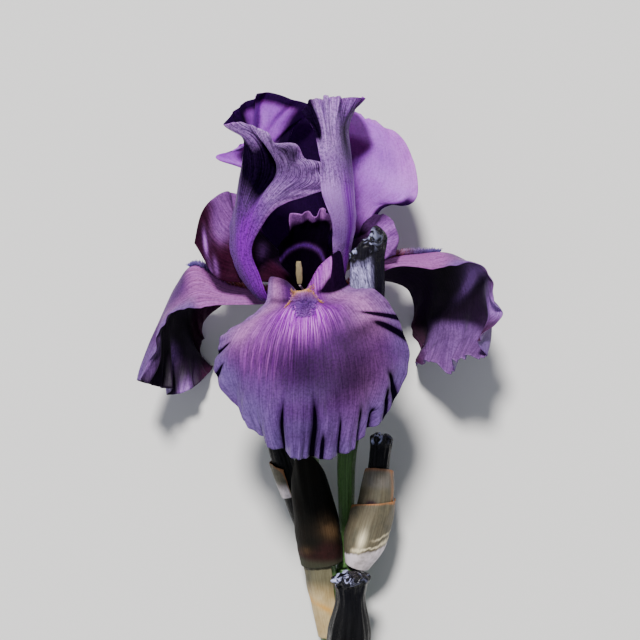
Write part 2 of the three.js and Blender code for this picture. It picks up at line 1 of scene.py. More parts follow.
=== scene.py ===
# A picked bearded iris: a near-black purple bloom with its stalk, buds and bracts, lying down.
# Lengths are in millimetres in the heart's own frame, as in the part's source: the origin is the
# middle of the disc that carries the petals, +Y is up the photograph and +Z is up from the table.
import math

import bpy
import numpy as np
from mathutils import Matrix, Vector


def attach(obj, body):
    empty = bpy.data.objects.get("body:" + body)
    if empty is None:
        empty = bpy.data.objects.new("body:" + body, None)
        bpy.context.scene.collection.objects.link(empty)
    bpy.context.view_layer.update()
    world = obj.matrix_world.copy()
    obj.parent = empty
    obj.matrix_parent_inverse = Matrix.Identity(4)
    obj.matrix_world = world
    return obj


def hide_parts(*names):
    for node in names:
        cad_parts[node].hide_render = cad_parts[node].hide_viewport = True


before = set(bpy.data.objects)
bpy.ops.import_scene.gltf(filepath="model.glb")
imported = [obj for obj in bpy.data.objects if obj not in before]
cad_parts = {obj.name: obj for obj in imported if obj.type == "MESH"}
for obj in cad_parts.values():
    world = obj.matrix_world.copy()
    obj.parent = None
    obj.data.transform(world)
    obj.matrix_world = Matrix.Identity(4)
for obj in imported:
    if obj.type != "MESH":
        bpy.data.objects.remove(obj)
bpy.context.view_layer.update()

MM = 0.001
HEART = np.array([-6, 48.5, 46])
TABLE = -HEART[2]
LEAN = math.radians(15)
UP_THE_BLOOM = np.array([0, math.cos(LEAN), math.sin(LEAN)])
FRONT = np.array([0, -math.sin(LEAN), math.cos(LEAN)])
PETAL_SKIN, STYLE_SKIN, BRACT_SKIN = 0.4, 0.5, 0.35
DISC_RADIUS = 6.8
PETAL_RING, STAMEN_RING, STYLE_RING = 6.2, 4.3, 2.2
PETAL_RING_HEIGHT, STAMEN_RING_HEIGHT = 0.7, 0.4
CLAW_HALF_ANGLE, STYLE_HALF_ANGLE = 22, 40
FALL_AZIMUTHS = {"front": 0, "left": -115, "right": 115}
STANDARD_AZIMUTHS = {"left": -60, "right": 60, "back": 180}
SETTLE_BLEND = 1.5
MARGIN_BAND, MARGIN_SKIN = 0.06, 0.45
random = np.random.default_rng(7)


def around(radius, azimuth, height):
    """A point of the disc: azimuth in degrees from the front, height along the bloom's axis."""
    angle = math.radians(azimuth)
    side = np.array([radius * math.sin(angle), 0, 0])
    return side + FRONT * radius * math.cos(angle) + UP_THE_BLOOM * height


def ring(radius, azimuth, height, half_angle):
    return [around(radius, azimuth + share * half_angle, height) for share in (-1, -0.5, 0, 0.5, 1)]


def claw(azimuth):
    return ring(PETAL_RING, azimuth, PETAL_RING_HEIGHT, CLAW_HALF_ANGLE)


def style_root(azimuth):
    return ring(STYLE_RING, azimuth, PETAL_RING_HEIGHT, STYLE_HALF_ANGLE)


# Soft steps, bands and spots: they shape the petals and place their colours
def smooth(start, end, value):
    """0 before the start and 1 past the end. With the start above the end it falls instead."""
    share = np.clip((value - start) / (end - start), 0, 1)
    return share * share * (3 - 2 * share)


def band(value, middle, width):
    return np.exp(-(((value - middle) / width) ** 2))


def spots(u, v, *places):
    """The sum of soft round spots: (strength, u, v, half width in u, half width in v)."""
    return sum(strength * np.exp(-(((u - at_u) / wide) ** 2) - ((v - at_v) / run) ** 2)
               for strength, at_u, at_v, wide, run in places)


# Curves and sheets
def weights(count, t):
    """Shares of evenly spaced points in a smooth curve through them, one row for each t."""
    t = np.clip(t, 0, 1) * (count - 1)
    start = np.clip(np.floor(t), 0, count - 2).astype(int)
    s = t - start
    padded = np.zeros((len(t), count + 2))
    shares = (((2 - s) * s - 1) * s, (3 * s - 5) * s * s + 2, ((4 - 3 * s) * s + 1) * s, (s - 1) * s * s)
    for k, share in enumerate(shares):
        padded[np.arange(len(t)), start + k] += share * 0.5
    inner = padded[:, 1:-1].copy()
    for past, edge, next_in in ((0, 0, 1), (-1, -1, -2)):
        inner[:, edge] += 2 * padded[:, past]
        inner[:, next_in] -= padded[:, past]
    return inner


def through(points, t):
    points = np.asarray(points, float)
    return weights(len(points), np.asarray(t, float).ravel()) @ points.reshape(len(points), -1)


def radii_of(values):
    return lambda t, a: through(values, t).reshape(t.shape)


def unit(vectors):
    return vectors / np.maximum(np.linalg.norm(vectors, axis=-1, keepdims=True), 1e-9)


def directions(axis, t, step, across=(0, 0, 1)):
    """The direction of a smooth axis at each t, and two more at right angles to it."""
    along = unit(through(axis, np.clip(t + step, 0, 1)) - through(axis, np.clip(t - step, 0, 1)))
    right = unit(np.cross(along, np.array(across, float)))
    return along, right, np.cross(right, along)


def settle(height, level):
    """Heights kept above a level, with a soft bend where they come near it."""
    above = height - level
    blend = level + (above + SETTLE_BLEND) ** 2 / (4 * SETTLE_BLEND)
    return np.where(above > SETTLE_BLEND, height, np.where(above < -SETTLE_BLEND, level, blend))


class Sheet:
    """A smooth sheet through rows of five points. u runs across it from -1 to 1, v from its root
    to its margin. waves are (size, count, phase, reach where they start), folds (angle in degrees
    from the midrib, width, depth, reach where they start) and hollows spots."""

    def __init__(self, root, rows, foot, waves, folds=(), hollows=()):
        self.net = np.append(np.ravel(root), rows).reshape(-1, 5, 3)
        self.foot, self.waves, self.folds, self.hollows = foot, waves, folds, hollows
        self.level = TABLE + PETAL_SKIN / 2

    def plain(self, u, v):
        along = weights(len(self.net), v)
        across = weights(5, (u + 1) / 2)
        return np.einsum("pr,pc,rcd->pd", along, across, self.net)

    def fan(self, u, v):
        """Angle from the midrib, reach towards the margin and share of the length past the foot."""
        along = np.maximum(0, (v - self.foot) / (1 - self.foot))
        reach = (u**4 + along**4) ** 0.25
        return np.arctan2(u, along), reach, along

    def height(self, u, v):
        angle, reach, along = self.fan(u, v)
        total = np.zeros_like(u)
        for size, count, phase, start in self.waves:
            wave = np.sin(count * angle + phase)
            total += size * smooth(start, 1, reach) * along**0.5 * wave
        for degrees, width, depth, start in self.folds:
            total += depth * smooth(start, 1, reach) * band(np.degrees(angle), degrees, width)
        return total + spots(u, v, *self.hollows)

    def normals(self, u, v, points, step):
        across = points(np.clip(u + step, -1, 1), v) - points(np.clip(u - step, -1, 1), v)
        along = points(u, np.clip(v + step, 0, 1)) - points(u, np.clip(v - step, 0, 1))
        return unit(np.cross(across, along))

    def points(self, u, v):
        plain = self.plain(u, v)
        found = plain + self.normals(u, v, self.plain, 0.01) * self.height(u, v)[:, None]
        found[:, 2] = settle(found[:, 2], self.level)
        return found

    def skin(self, u, v, offset):
        return self.points(u, v) + self.normals(u, v, self.points, 0.004) * np.reshape(offset, (-1, 1))


def add_mesh(name, points, faces, looks, marks=None, face_looks=None):
    """A smooth-shaded mesh from points in the heart's frame. marks are vector attributes by name."""
    mesh = bpy.data.meshes.new(name)
    places = ((np.asarray(points) + HEART) * MM).tolist()
    mesh.from_pydata(places, [], [face for part in faces for face in part.tolist()], shade_flat=False)
    if face_looks is not None:
        mesh.polygons.foreach_set("material_index", np.asarray(face_looks, np.int32))
    for key, values in (marks or {}).items():
        layer = mesh.attributes.new(key, "FLOAT_VECTOR", "POINT")
        layer.data.foreach_set("vector", np.asarray(values, np.float32).ravel())
    mesh.validate()
    piece = bpy.data.objects.new(name, mesh)
    bpy.context.scene.collection.objects.link(piece)
    for look in looks:
        mesh.materials.append(look)
    return piece


def finish_piece(piece, node):
    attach(piece, "root")
    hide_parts(node)


def grid_faces(columns, rows, first=0, flip=False, wrap=False):
    width = columns if wrap else columns + 1
    i, j = (part.ravel() for part in np.meshgrid(np.arange(columns), np.arange(rows)))
    after = (i + 1) % width if wrap else i + 1
    quads = np.stack([j * width + i, j * width + after, (j + 1) * width + after, (j + 1) * width + i], 1)
    return first + (quads[:, ::-1] if flip else quads)


def rim_faces(columns, rows):
    """The faces that join the margins of a sheet's two sides."""
    width = columns + 1
    count, last = width * (rows + 1), width * rows
    i, j = np.arange(columns), np.arange(rows) * width
    runs = ((i + 1, i), (last + i, last + i + 1), (j, j + width), (j + width + columns, j + columns))
    return [np.stack([count + a, count + b, b, a], 1) for a, b in runs]


def shell(name, sheet, thickness, columns, rows, looks, zones, slot):
    """A thin closed sheet for the node of its name, with looks[0] on its inner side, against the
    normal. zones gives the strengths of each side's colours."""
    u, v = np.meshgrid(np.linspace(-1, 1, columns + 1), np.linspace(0, 1, rows + 1))
    u, v = u.ravel(), v.ravel()
    reach = sheet.fan(u, v)[1]
    edge = np.minimum(1 - np.abs(u), 1 - v) / MARGIN_BAND
    half = thickness / 2 * (MARGIN_SKIN + (1 - MARGIN_SKIN) * np.clip(edge, 0, 1))
    inner = grid_faces(columns, rows, flip=True)
    outer = grid_faces(columns, rows, len(u))
    faces = np.concatenate([inner, outer] + rim_faces(columns, rows))
    face_looks = np.zeros(len(faces))
    face_looks[len(inner):len(inner) + len(outer)] = 1
    strengths = np.concatenate([np.clip(side, 0, 2) for side in zones(u, v, reach)])
    marks = {
        "petal": np.tile(np.stack([u, v, reach], 1), (2, 1)),
        "zones": strengths[:, :3],
        "shade": np.repeat(strengths[:, 3:], 3, axis=1),
    }
    points = np.concatenate([sheet.skin(u, v, -half), sheet.skin(u, v, half)])
    finish_piece(add_mesh(name, points, [faces], looks, marks, face_looks), name)


def tube(name, axis, radius, sides, steps, look, across=(0, 0, 1), shift=None):
    """A tube about a smooth axis, closed at both ends. radius(t, angle) is its points' distance
    from the axis, and shift their way along it."""
    t = np.linspace(0, 1, steps + 1)
    along, right, forward = directions(axis, t, 0.002, across)
    tt, aa = np.meshgrid(t, np.arange(sides) * 2 * math.pi / sides, indexing="ij")
    outward = np.cos(aa)[..., None] * right[:, None] + np.sin(aa)[..., None] * forward[:, None]
    points = through(axis, t)[:, None] + radius(tt, aa)[..., None] * outward
    if shift is not None:
        points = points + shift(tt, aa)[..., None] * along[:, None]
    points = np.concatenate([points.reshape(-1, 3), [points[0].mean(0), points[-1].mean(0)]])
    i, middle = np.arange(sides), np.full(sides, tt.size)
    after, top = (i + 1) % sides, steps * sides
    ends = (middle, i, after), (middle + 1, top + after, top + i)
    faces = [grid_faces(sides, steps, flip=True, wrap=True)] + [np.stack(end, 1) for end in ends]
    t, angle = np.append(tt, [0, 1]), np.append(aa, [0, 0])
    marks = {"tube": np.stack([t, np.cos(angle), np.sin(angle)], 1)}
    return add_mesh(name, points, faces, [look], marks)


# Materials
GRAIN_TINT, SHADE_TINT = (0.12, 0.08, 0.16), (0.02, 0.014, 0.03)
PETAL_ROUGHNESS = (0.45, 0.6)
FADED = 0.1


class Look:
    """A node material: plain values go on the surface's own sockets, patterns through nodes."""

    def __init__(self, name, **plain):
        self.material = bpy.data.materials.new(name)
        self.material.use_nodes = True
        self.tree = self.material.node_tree
        self.surface = self.tree.nodes["Principled BSDF"]
        for socket, value in plain.items():
            self.set(socket.replace("_", " "), value)

    def feed(self, socket, value):
        if isinstance(value, bpy.types.NodeSocket):
            self.tree.links.new(value, socket)
        else:
            socket.default_value = value

    def set(self, socket, value):
        self.feed(self.surface.inputs[socket], value)

    def add(self, kind, inputs=(), **settings):
        node = self.tree.nodes.new("ShaderNode" + kind)
        for key, value in settings.items():
            setattr(node, key, value)
        for key, value in dict(inputs).items():
            self.feed(node.inputs[key], value)
        return node

    def math(self, operation, a, b, clamp=False):
        return self.add("Math", {0: a, 1: b}, operation=operation, use_clamp=clamp).outputs[0]

    def times(self, a, b, clamp=False):
        return self.math("MULTIPLY", a, b, clamp)

    def plus(self, a, b):
        return self.math("ADD", a, b)

    def range(self, value, low, high, start=0.0, end=1.0):
        inputs = {0: value, 1: low, 2: high, 3: start, 4: end}
        return self.add("MapRange", inputs).outputs[0]

    def mix(self, share, a, b, blend="MIX"):
        a, b = (c + (1,) if isinstance(c, tuple) else c for c in (a, b))
        return self.add("Mix", {0: share, 6: a, 7: b}, data_type="RGBA", blend_type=blend).outputs[2]

    def split(self, name):
        """The three values that a mesh's vector attribute holds for each point."""
        mark = self.add("Attribute", attribute_name=name).outputs["Vector"]
        return self.add("SeparateXYZ", {0: mark}).outputs

    def scaled(self, *axes):
        """A place for noise from (value, scale) pairs."""
        inputs = {k: self.times(value, scale) for k, (value, scale) in enumerate(axes)}
        return self.add("CombineXYZ", inputs).outputs[0]

    def noise(self, place, scale, detail=2.0, roughness=0.5, distortion=0.0):
        inputs = {"Vector": place, "Scale": scale, "Detail": detail,
                  "Roughness": roughness, "Distortion": distortion}
        return self.add("TexNoise", inputs).outputs[0]

    def place(self):
        return self.add("TexCoord").outputs["Object"]

    def ramp(self, value, stops):
        """Colours from (position, colour) stops."""
        node = self.add("ValToRGB", {0: value})
        elements = node.color_ramp.elements
        for element, (position, color) in zip(elements, (stops[0], stops[-1])):
            element.position, element.color = position, color + (1,)
        for position, color in stops[1:-1]:
            elements.new(position).color = color + (1,)
        return node.outputs[0]

    def bump(self, height, strength, distance):
        node = self.add("Bump", {"Height": height, "Strength": strength, "Distance": distance})
        self.set("Normal", node.outputs[0])


def petal_look(name, base, deep, glow, warm, pale, veins=(60, 6), vein_share=0.5, glint_share=0.1,
               sheen=0.05, relief=0.5, glitter=0.35, shine=0.18, glow_through=0.0,
               vein_color=(0.22, 0.15, 0.28), glint_color=(0.65, 0.2, 0.8)):
    """Velvety petal: colours by zone, painted shade, veins that fan out from the claw and painted glints
    of its papillae.
    """
    look = Look(name, Sheen_Roughness=0.3, Sheen_Tint=(0.75, 0.65, 1, 1),
                Subsurface_Weight=glow_through, Subsurface_Scale=0.002, Subsurface_Radius=(1, 0.3, 1))
    u, v, _ = look.split("petal")
    near, soft, light = look.split("zones")
    dark = look.split("shade")[0]
    place = look.place()
    drift = look.noise(place, 45)
    color = look.mix(look.range(drift, 0.35, 0.65), base, deep)
    patches = look.range(look.noise(place, 110, 3.0), 0.3, 0.6, 0.6, 1)
    color = look.mix(look.times(soft, patches), color, warm)
    color = look.mix(look.times(light, patches), color, pale)
    rays = look.noise(look.scaled((u, 24), (v, 2)), 1.0, 3.0)
    near = look.times(near, look.range(rays, 0.35, 0.65, 0.6, 1.4))
    color = look.mix(near, color, glow)
    vein = look.noise(look.scaled((u, veins[0]), (v, veins[1])), 1.0, 3.0, 0.6, 0.3)
    veined = look.times(look.range(vein, 0.42, 0.62), look.range(light, 1, 2, vein_share, FADED))
    color = look.mix(veined, color, vein_color, "MULTIPLY")
    grain = look.noise(place, 1100, 2.0, 0.7)
    speckle = look.times(look.range(grain, 0.45, 0.62), look.range(light, 1, 2, glitter, FADED))
    color = look.mix(speckle, color, GRAIN_TINT, "MULTIPLY")
    # Painted glints: bright flecks in the vivid zones, where the papillae catch the light
    glint_lines = look.scaled((u, veins[0] * 0.9), (v, veins[1] * 0.9))
    glint_pattern = look.range(look.noise(glint_lines, 1.0, 4.0, 0.7, 0.4), 0.47, 0.6)
    glint = look.times(glint_pattern, look.range(near, 0.1, 0.8))
    color = look.mix(look.times(glint, glint_share, clamp=True), color, glint_color)
    # Painted shade: the shade layer darkens the colour towards SHADE_TINT and dulls its sheen and shine
    look.set("Base Color", look.mix(dark, color, SHADE_TINT, "MULTIPLY"))
    dull = look.times(look.math("MAXIMUM", dark, near), 0.95)
    lit = look.math("SUBTRACT", 1.0, dull, clamp=True)
    look.set("Sheen Weight", look.times(lit, sheen))
    look.set("Specular IOR Level", look.times(lit, shine))
    look.set("Roughness", look.range(drift, 0.3, 0.7, *PETAL_ROUGHNESS))
    look.bump(look.plus(look.times(vein, 0.7), look.times(grain, 0.5)), relief, 0.0005)
    return look.material


PURPLE, DEEP = (0.095, 0.008, 0.17), (0.04, 0.003, 0.08)
BLACK_VIOLET, NEAR_BLACK = (0.018, 0.004, 0.03), (0.008, 0.002, 0.012)
VIOLET, ORCHID = (0.3, 0.0, 0.62), (0.33, 0.01, 0.52)
MAUVE, PINK = (0.52, 0.2, 0.53), (0.34, 0.11, 0.34)
LILAC, PALE_LILAC = (0.17, 0.1, 0.33), (0.48, 0.22, 0.74)

fall_inner = petal_look("fall_upper_face", PURPLE, DEEP, ORCHID, MAUVE, LILAC, veins=(80, 7),
                        sheen=0.1, glint_share=0.8, relief=0.8, glint_color=(0.85, 0.25, 0.95))
side_fall_inner = petal_look("side_fall_upper_face", PURPLE, DEEP, PINK, MAUVE, LILAC, glint_share=0.3)
# On the side falls' under faces its pale colour is painted light where the margins curl
fall_outer = petal_look("fall_under_face", BLACK_VIOLET, NEAR_BLACK, VIOLET, (0.1, 0.012, 0.06),
                        PALE_LILAC)
standard_outer = petal_look("standard_outer_face", (0.2, 0.05, 0.38), (0.1, 0.02, 0.22), VIOLET,
                            (0.28, 0.1, 0.36), (0.64, 0.34, 0.92), veins=(90, 5), glint_share=0.15,
                            vein_share=0.95, glitter=0.6, glow_through=0.3, vein_color=(0.1, 0.06, 0.14))
standard_inner = petal_look("standard_inner_face", (0.32, 0.045, 0.56), (0.24, 0.035, 0.46), VIOLET,
                            (0.5, 0.13, 0.62), (0.5, 0.17, 0.8), vein_share=0.2, glitter=0.2,
                            glow_through=0.3)
style_outer = petal_look("style_arm_outer_face", (0.2, 0.06, 0.25), (0.12, 0.03, 0.16), (0.1, 0.01, 0.3),
                         (0.12, 0.01, 0.03), (0.5, 0.17, 0.6), veins=(30, 4), shine=0.08)
style_inner = petal_look("style_arm_inner_face", (0.03, 0.006, 0.04), (0.015, 0.004, 0.02), VIOLET,
                         (0.13, 0.015, 0.07), (0.42, 0.14, 0.58), veins=(30, 4), glint_share=0.0, shine=0.05)


def tissue_look(name, stops, streaks=(8, 60), rough=0.5, relief=0.4, shine=0.5, crinkle=0.0,
                bloom=None, gloss_from=None):
    """A plant's skin, streaked and finely grained. bloom is a stretch of it (from, to, colour)
    with pale wrinkles, partly a waxy bloom and partly painted light; past gloss_from it is glossy
    and creased, with painted glints."""
    look = Look(name, Roughness=rough, Specular_IOR_Level=shine)
    t, x, y = look.split("tube")
    place = look.place()
    drift = look.range(look.noise(place, 60, 3.0), 0.0, 1.0, -0.06, 0.06)
    color = look.ramp(look.plus(t, drift), stops)
    lengthwise, crosswise = streaks[0], streaks[1] / 6
    streak = look.noise(look.scaled((x, crosswise), (y, crosswise), (t, lengthwise)), 1.0, 3.0, 0.6)
    dull = look.times(look.range(streak, 0.4, 0.65), 0.5)
    color = look.mix(dull, color, (0.35, 0.35, 0.35), "MULTIPLY")
    if bloom:
        low, high, pale = bloom
        stretch = look.times(look.range(t, low, low + 0.04), look.range(t, high, high - 0.04))
        slant = look.plus(look.times(t, 40), look.times(x, 7))
        wrinkles = look.noise(look.scaled((x, 5), (y, 5), (slant, 1)), 1.0, 4.0, 0.65, 1.2)
        # The pale wrinkles fade out towards one side, as painted light
        stretch = look.times(stretch, look.range(x, 0.45, 0.1))
        color = look.mix(look.times(stretch, look.range(wrinkles, 0.38, 0.62, 0.12, 1.0)), color, pale)
    grain = look.noise(place, 1300)
    dull = look.times(look.range(grain, 0.4, 0.7), 0.25)
    color = look.mix(dull, color, (0.5, 0.5, 0.5), "MULTIPLY")
    height = look.plus(look.times(streak, 0.8), look.times(grain, 0.2))
    if crinkle:
        height = look.plus(height, look.times(look.noise(place, 240, 4.0, 0.7, 2.0), crinkle))
    if gloss_from:
        glossy = look.range(t, gloss_from, gloss_from + 0.04)
        look.set("Roughness", look.range(glossy, 0, 1, rough, 0.12))
        look.set("Specular IOR Level", look.range(glossy, 0, 1, shine, 0.25))
        # Painted glints on the peaks of the creases, on one side of the tip
        glint_creases = look.noise(place, 210, 3.0, 0.55, 1.6)
        lit = look.times(look.range(glint_creases, 0.54, 0.62), look.range(t, 0.92, 0.96))
        lit = look.times(lit, look.range(x, 0.6, 0.1, 0.15, 1))
        color = look.mix(lit, color, (0.45, 0.47, 0.78))
        height = look.plus(height, look.times(look.times(glint_creases, glossy), 5.0))
    look.set("Base Color", color)
    look.bump(height, relief, 0.0006)
    return look.material


def hair_look(name, stops):
    """Beard hairs: one colour at the throat and another at the beard's outer end, paler tips."""
    look = Look(name, Roughness=0.5, Specular_IOR_Level=0.3)
    along, t, chance = look.split("hair")
    color = look.ramp(look.plus(along, look.range(chance, 0, 1, -0.08, 0.08)), stops)
    color = look.mix(look.range(chance, 0.0, 0.6, 0.6, 0.0), color, (0.02, 0.01, 0.05))
    tip = look.times(look.math("POWER", t, 2.0), look.range(chance, 0.3, 1, 0.0, 0.5))
    look.set("Base Color", look.mix(tip, color, (0.6, 0.4, 0.8)))
    return look.material


def paper_look(name, base, dark, pink, cream, edge, shine=0.4):
    """Dry papery tissue: fine lengthwise veins, blotches and a browned edge."""
    look = Look(name, Roughness=0.6, Specular_IOR_Level=shine)
    u, v, _ = look.split("petal")
    first, second, third = look.split("zones")
    stain = look.split("shade")[0]
    place = look.place()
    color = look.mix(look.range(look.noise(place, 130, 4.0, 0.6), 0.4, 0.65), base, dark)
    blotch = look.range(look.noise(place, 190, 3.0, 0.6), 0.35, 0.55, 0.5, 1)
    # On the outer right bract the first and second layers are painted sunlight; over the stem bract's
    # top the second is painted shade
    color = look.mix(look.times(first, blotch), color, pink)
    color = look.mix(second, color, cream)
    color = look.mix(look.times(third, blotch), color, edge)
    vein = look.noise(look.scaled((u, 26), (v, 2.5)), 1.0, 3.0, 0.6)
    veined = look.times(look.range(vein, 0.45, 0.6), look.range(first, 0, 1, 0.5, 0.12))
    color = look.mix(veined, color, (0.5, 0.42, 0.36), "MULTIPLY")
    look.set("Base Color", look.mix(stain, color, (0.16, 0.03, 0.14), "MULTIPLY"))
    look.bump(look.plus(vein, look.times(look.noise(place, 900, 3.0), 0.4)), 0.6, 0.0004)
    return look.material


# Nets of the petals and style arms: each line holds the x, y, z of five points, left to right
# from outside, from the claw's end to the margin. Then foot, waves, folds and hollows follow:
# the finest of them are the ruffles and pleats close to each margin.
FALL_NETS = {
    "front": ([
        -13.2, 7.5, 11.5, -8.2, 6, 12, -1, 1, 14.8, 6, 11.5, 15.6, 13.2, 17.5, 19,
        -15.6, -3.2, 20.6, -8, -3.4, 24, 0, -1, 26, 7.5, -1.6, 25.5, 17, 4, 24,
        -26.5, -11, 22, -13, -9, 28.5, 0, -9, 31, 14, -5, 30, 27.5, 2, 27,
        -33.5, -19, 23, -18, -18, 32, 0, -22, 35, 19, -15, 33, 36, -7, 24,
        -34.5, -29, 24, -20, -31, 34, 0, -36, 37.5, 22, -28, 35, 40.5, -22.5, 22,
        -30.5, -39.5, 26, -19, -44, 34, 0, -50, 38.5, 22, -42, 35, 38, -36.5, 23,
        -24, -48.5, 29, -14.5, -56.5, 33, -1, -63.5, 36, 18, -60, 33, 31, -48, 27,
    ], 0.3,
     [(1.5, 21, 0.4, 0.55), (1.4, 9, 2.1, 0.4), (0.55, 57, 0.3, 0.86), (0.35, 83, 1.1, 0.9),
      (0.25, 67, 0.7, 0.25)],
     [(-15.5, 2.4, 3.6, 0.65), (7, 3.2, 6.5, 0.62), (31, 2.4, 4, 0.82), (49, 2.4, 3, 0.84),
      (63, 2.4, 2.6, 0.72), (11.5, 1.8, 2.6, 0.85), (20.6, 1.4, 2.4, 0.8), (39.5, 1.8, 2.6, 0.95),
      (45.5, 1.4, 2.2, 0.9), (67.5, 1.6, 1.6, 0.6), (-65.5, 1.6, 1.9, 0.85),
      (-57.5, 1.5, 1.9, 0.88), (-28, 1.4, 1.2, 0.9)]),
    "left": ([
        -12, 3, -10, -13, 3.5, -7, -14, 2.5, -4, -14.6, 0, -1, -14.5, -3, 1.5,
        -26, 1, -22, -29, 6, -16, -30, 5, -9, -30.5, 1.5, -3, -30, -3.5, 1,
        -38, -6, -31, -42, 8, -23, -44.5, 12.5, -13, -44, 6, -5, -41, -4, 0,
        -43, -12, -40, -49, -3, -31, -52, 5, -18, -52.5, -1, -8, -48, -6, -2,
        -42.5, -20, -48, -50, -14, -36, -56, -6, -22, -58, -8, -11, -56.5, -11.5, -2,
        -40, -28, -51, -49, -25, -37, -57, -18, -23, -61, -18, -11, -60, -20, 0,
        -39, -31, -46, -49, -39, -28, -57, -38, -20, -64, -35, -11, -67.5, -32, -3,
    ], 0.35,
     [(3, 9, 0.8, 0.5), (1.5, 17, 2.4, 0.65), (0.8, 37, 0.2, 0.8), (0.4, 71, 0.9, 0.88)]),
    "right": ([
        14.5, -1, 1.5, 14.6, 1.5, -1, 14, 3, -4, 13, 3.5, -7, 12, 3, -10,
        34, 11, 0, 33, 13.5, -4, 31, 14, -9, 30, 12.5, -15, 29, 6.5, -21,
        48, 11.5, -1, 48, 15, -6, 46, 17, -13, 43.5, 13, -23, 41, 4, -31,
        59, 12.5, 2, 60.5, 16, -5, 58, 16.5, -15, 53, 10, -28, 45, -3, -39,
        71, 8.5, 6, 71, 9, -5, 66, 6, -18, 57, -1, -33, 45, -11, -47,
        75, 0, 7, 73, -0.5, -7, 67, -5, -20, 56, -11, -36, 45, -19, -51,
        78.5, -8.5, 5, 73.5, -10, -7, 67, -14, -19, 56, -19, -34, 45, -25, -49,
        72, -18.5, 10, 68, -22.5, 5, 61, -27.5, -1, 52, -28, -16, 46, -29, -34,
    ], 0.35,
     [(3, 9, 2.6, 0.5), (1.5, 17, 0.7, 0.65), (0.8, 37, 0.2, 0.8), (0.4, 71, 0.9, 0.88)]),
}
STANDARD_NETS = {
    "left": ([
        -14, 1.5, 3, -13, 0.2, 5, -11.5, -0.8, 7.2, -9.6, -1.2, 9, -7.6, -1, 10.4,
        -20.5, 1.8, 6, -19.5, 0, 8.5, -17.8, -1.7, 11, -15.8, -2.2, 13, -13.5, -1.8, 14.6,
        -26, 8, 10.5, -24.5, 7, 13.5, -22.3, 6, 16, -19.8, 6.2, 17.8, -17.6, 8, 19,
        -29, 18, 13, -27.5, 17, 16.5, -25.5, 16, 20, -23, 17, 22, -20.5, 19, 22.5,
        -28, 32, 8, -28, 30, 16, -26, 28, 23, -20, 30, 27, -12.5, 32.5, 28.5,
        -22, 43, -2, -26, 42, 9, -25, 40.5, 22.5, -14, 41, 31, -2, 37.5, 31,
        -12, 56, -6, -22, 54, 4, -24, 52, 21, -10, 48, 32, 9, 42, 28,
        -4, 68, -4, -19, 67, 3, -24, 62, 21, -12, 55, 31, 9, 48, 27,
        4, 76, -1, -18, 80, 6, -29, 69, 23, -15.5, 64.5, 28, 6, 50, 27,
    ], 0.4,
     [(2.2, 9, 1.2, 0.5), (0.9, 20, 0.3, 0.65), (0.7, 41, 0.6, 0.78), (0.3, 77, 0.4, 0.88)],
     [(33, 2.6, -3.4, 0.75), (42, 2.6, -3.4, 0.78), (-30, 6, 3, 0.8)],
     [(-12, 0.25, 0.77, 0.19, 0.14)]),
    "right": ([
        8.5, -0.5, 9.5, 9.7, -0.6, 8, 10.6, -0.3, 6, 11.2, 0.4, 4, 11.6, 1.2, 2,
        10.5, 1.5, 12.5, 12, 0.5, 11, 13.2, 0.5, 8.8, 14, 1.5, 6, 14.5, 3, 3.5,
        12, 9, 14, 13.8, 8, 12.5, 15, 8, 10, 16, 9, 7, 16.5, 11, 3.5,
        11, 18, 17, 13.8, 18, 15.5, 16, 18, 12.5, 17.6, 19, 8.5, 18.8, 21, 4,
        10.5, 28.5, 27, 13.5, 28.5, 26, 17, 28.5, 21.5, 19.5, 30, 14, 20, 33, 5,
        6.5, 40, 36, 11, 40, 35, 15.5, 39.5, 31, 19, 42, 20, 19, 46, 5,
        6, 52, 37, 9.5, 52, 36, 13.5, 52, 33, 18, 54, 20, 16, 58, 4,
        3.5, 64, 33.5, 8, 65, 33.5, 11.5, 64.5, 31, 17, 67, 20, 15, 69, 5,
        -1.5, 71.5, 28, 6, 77.5, 28.5, 12.5, 77, 28, 24, 77, 19, 14, 74, 6,
    ], 0.45,
     [(1.1, 9, 0.2, 0.55), (0.6, 18, 1.3, 0.7), (0.45, 47, 0.2, 0.8), (0.3, 77, 0.4, 0.88)],
     [(-26, 5, -4, 0.78), (9, 4, -4, 0.8)]),
    "back": ([
        6.8, 4.6, -9.8, 3.5, 5.2, -11.4, 0, 5.3, -12, -3.5, 5.2, -11.4, -6.8, 4.6, -9.8,
        12.5, 14, -12.5, 6.5, 14.8, -15.5, 1, 15, -17, -5.5, 14.8, -16.5, -12, 14, -15,
        25, 26, -13, 13, 27, -15.5, 2, 27, -17, -10, 27, -18, -21, 26.5, -18,
        32, 36, -8, 18, 38, -11, 2, 39, -16, -14, 38, -18.5, -27, 38, -19,
        44, 38, -1, 23, 48, -6, 2, 50, -14, -13.5, 49, -18, -22, 50, -18,
        44.5, 51, -3, 25, 58, -7, 1, 61, -14, -17, 58, -17, -36.5, 56.5, -14,
        39.5, 64, -8, 23, 68, -9, 1, 70, -13, -14, 68, -16, -25.5, 61.5, -15,
        30, 71, -13, 18, 74, -12, 2, 76, -13, -11, 73, -15, -22, 69, -17,
    ], 0.35,
     [(1.3, 8, 2.4, 0.55), (0.5, 18, 0.5, 0.7), (0.5, 39, 1.4, 0.82), (0.3, 77, 0.4, 0.88)]),
}
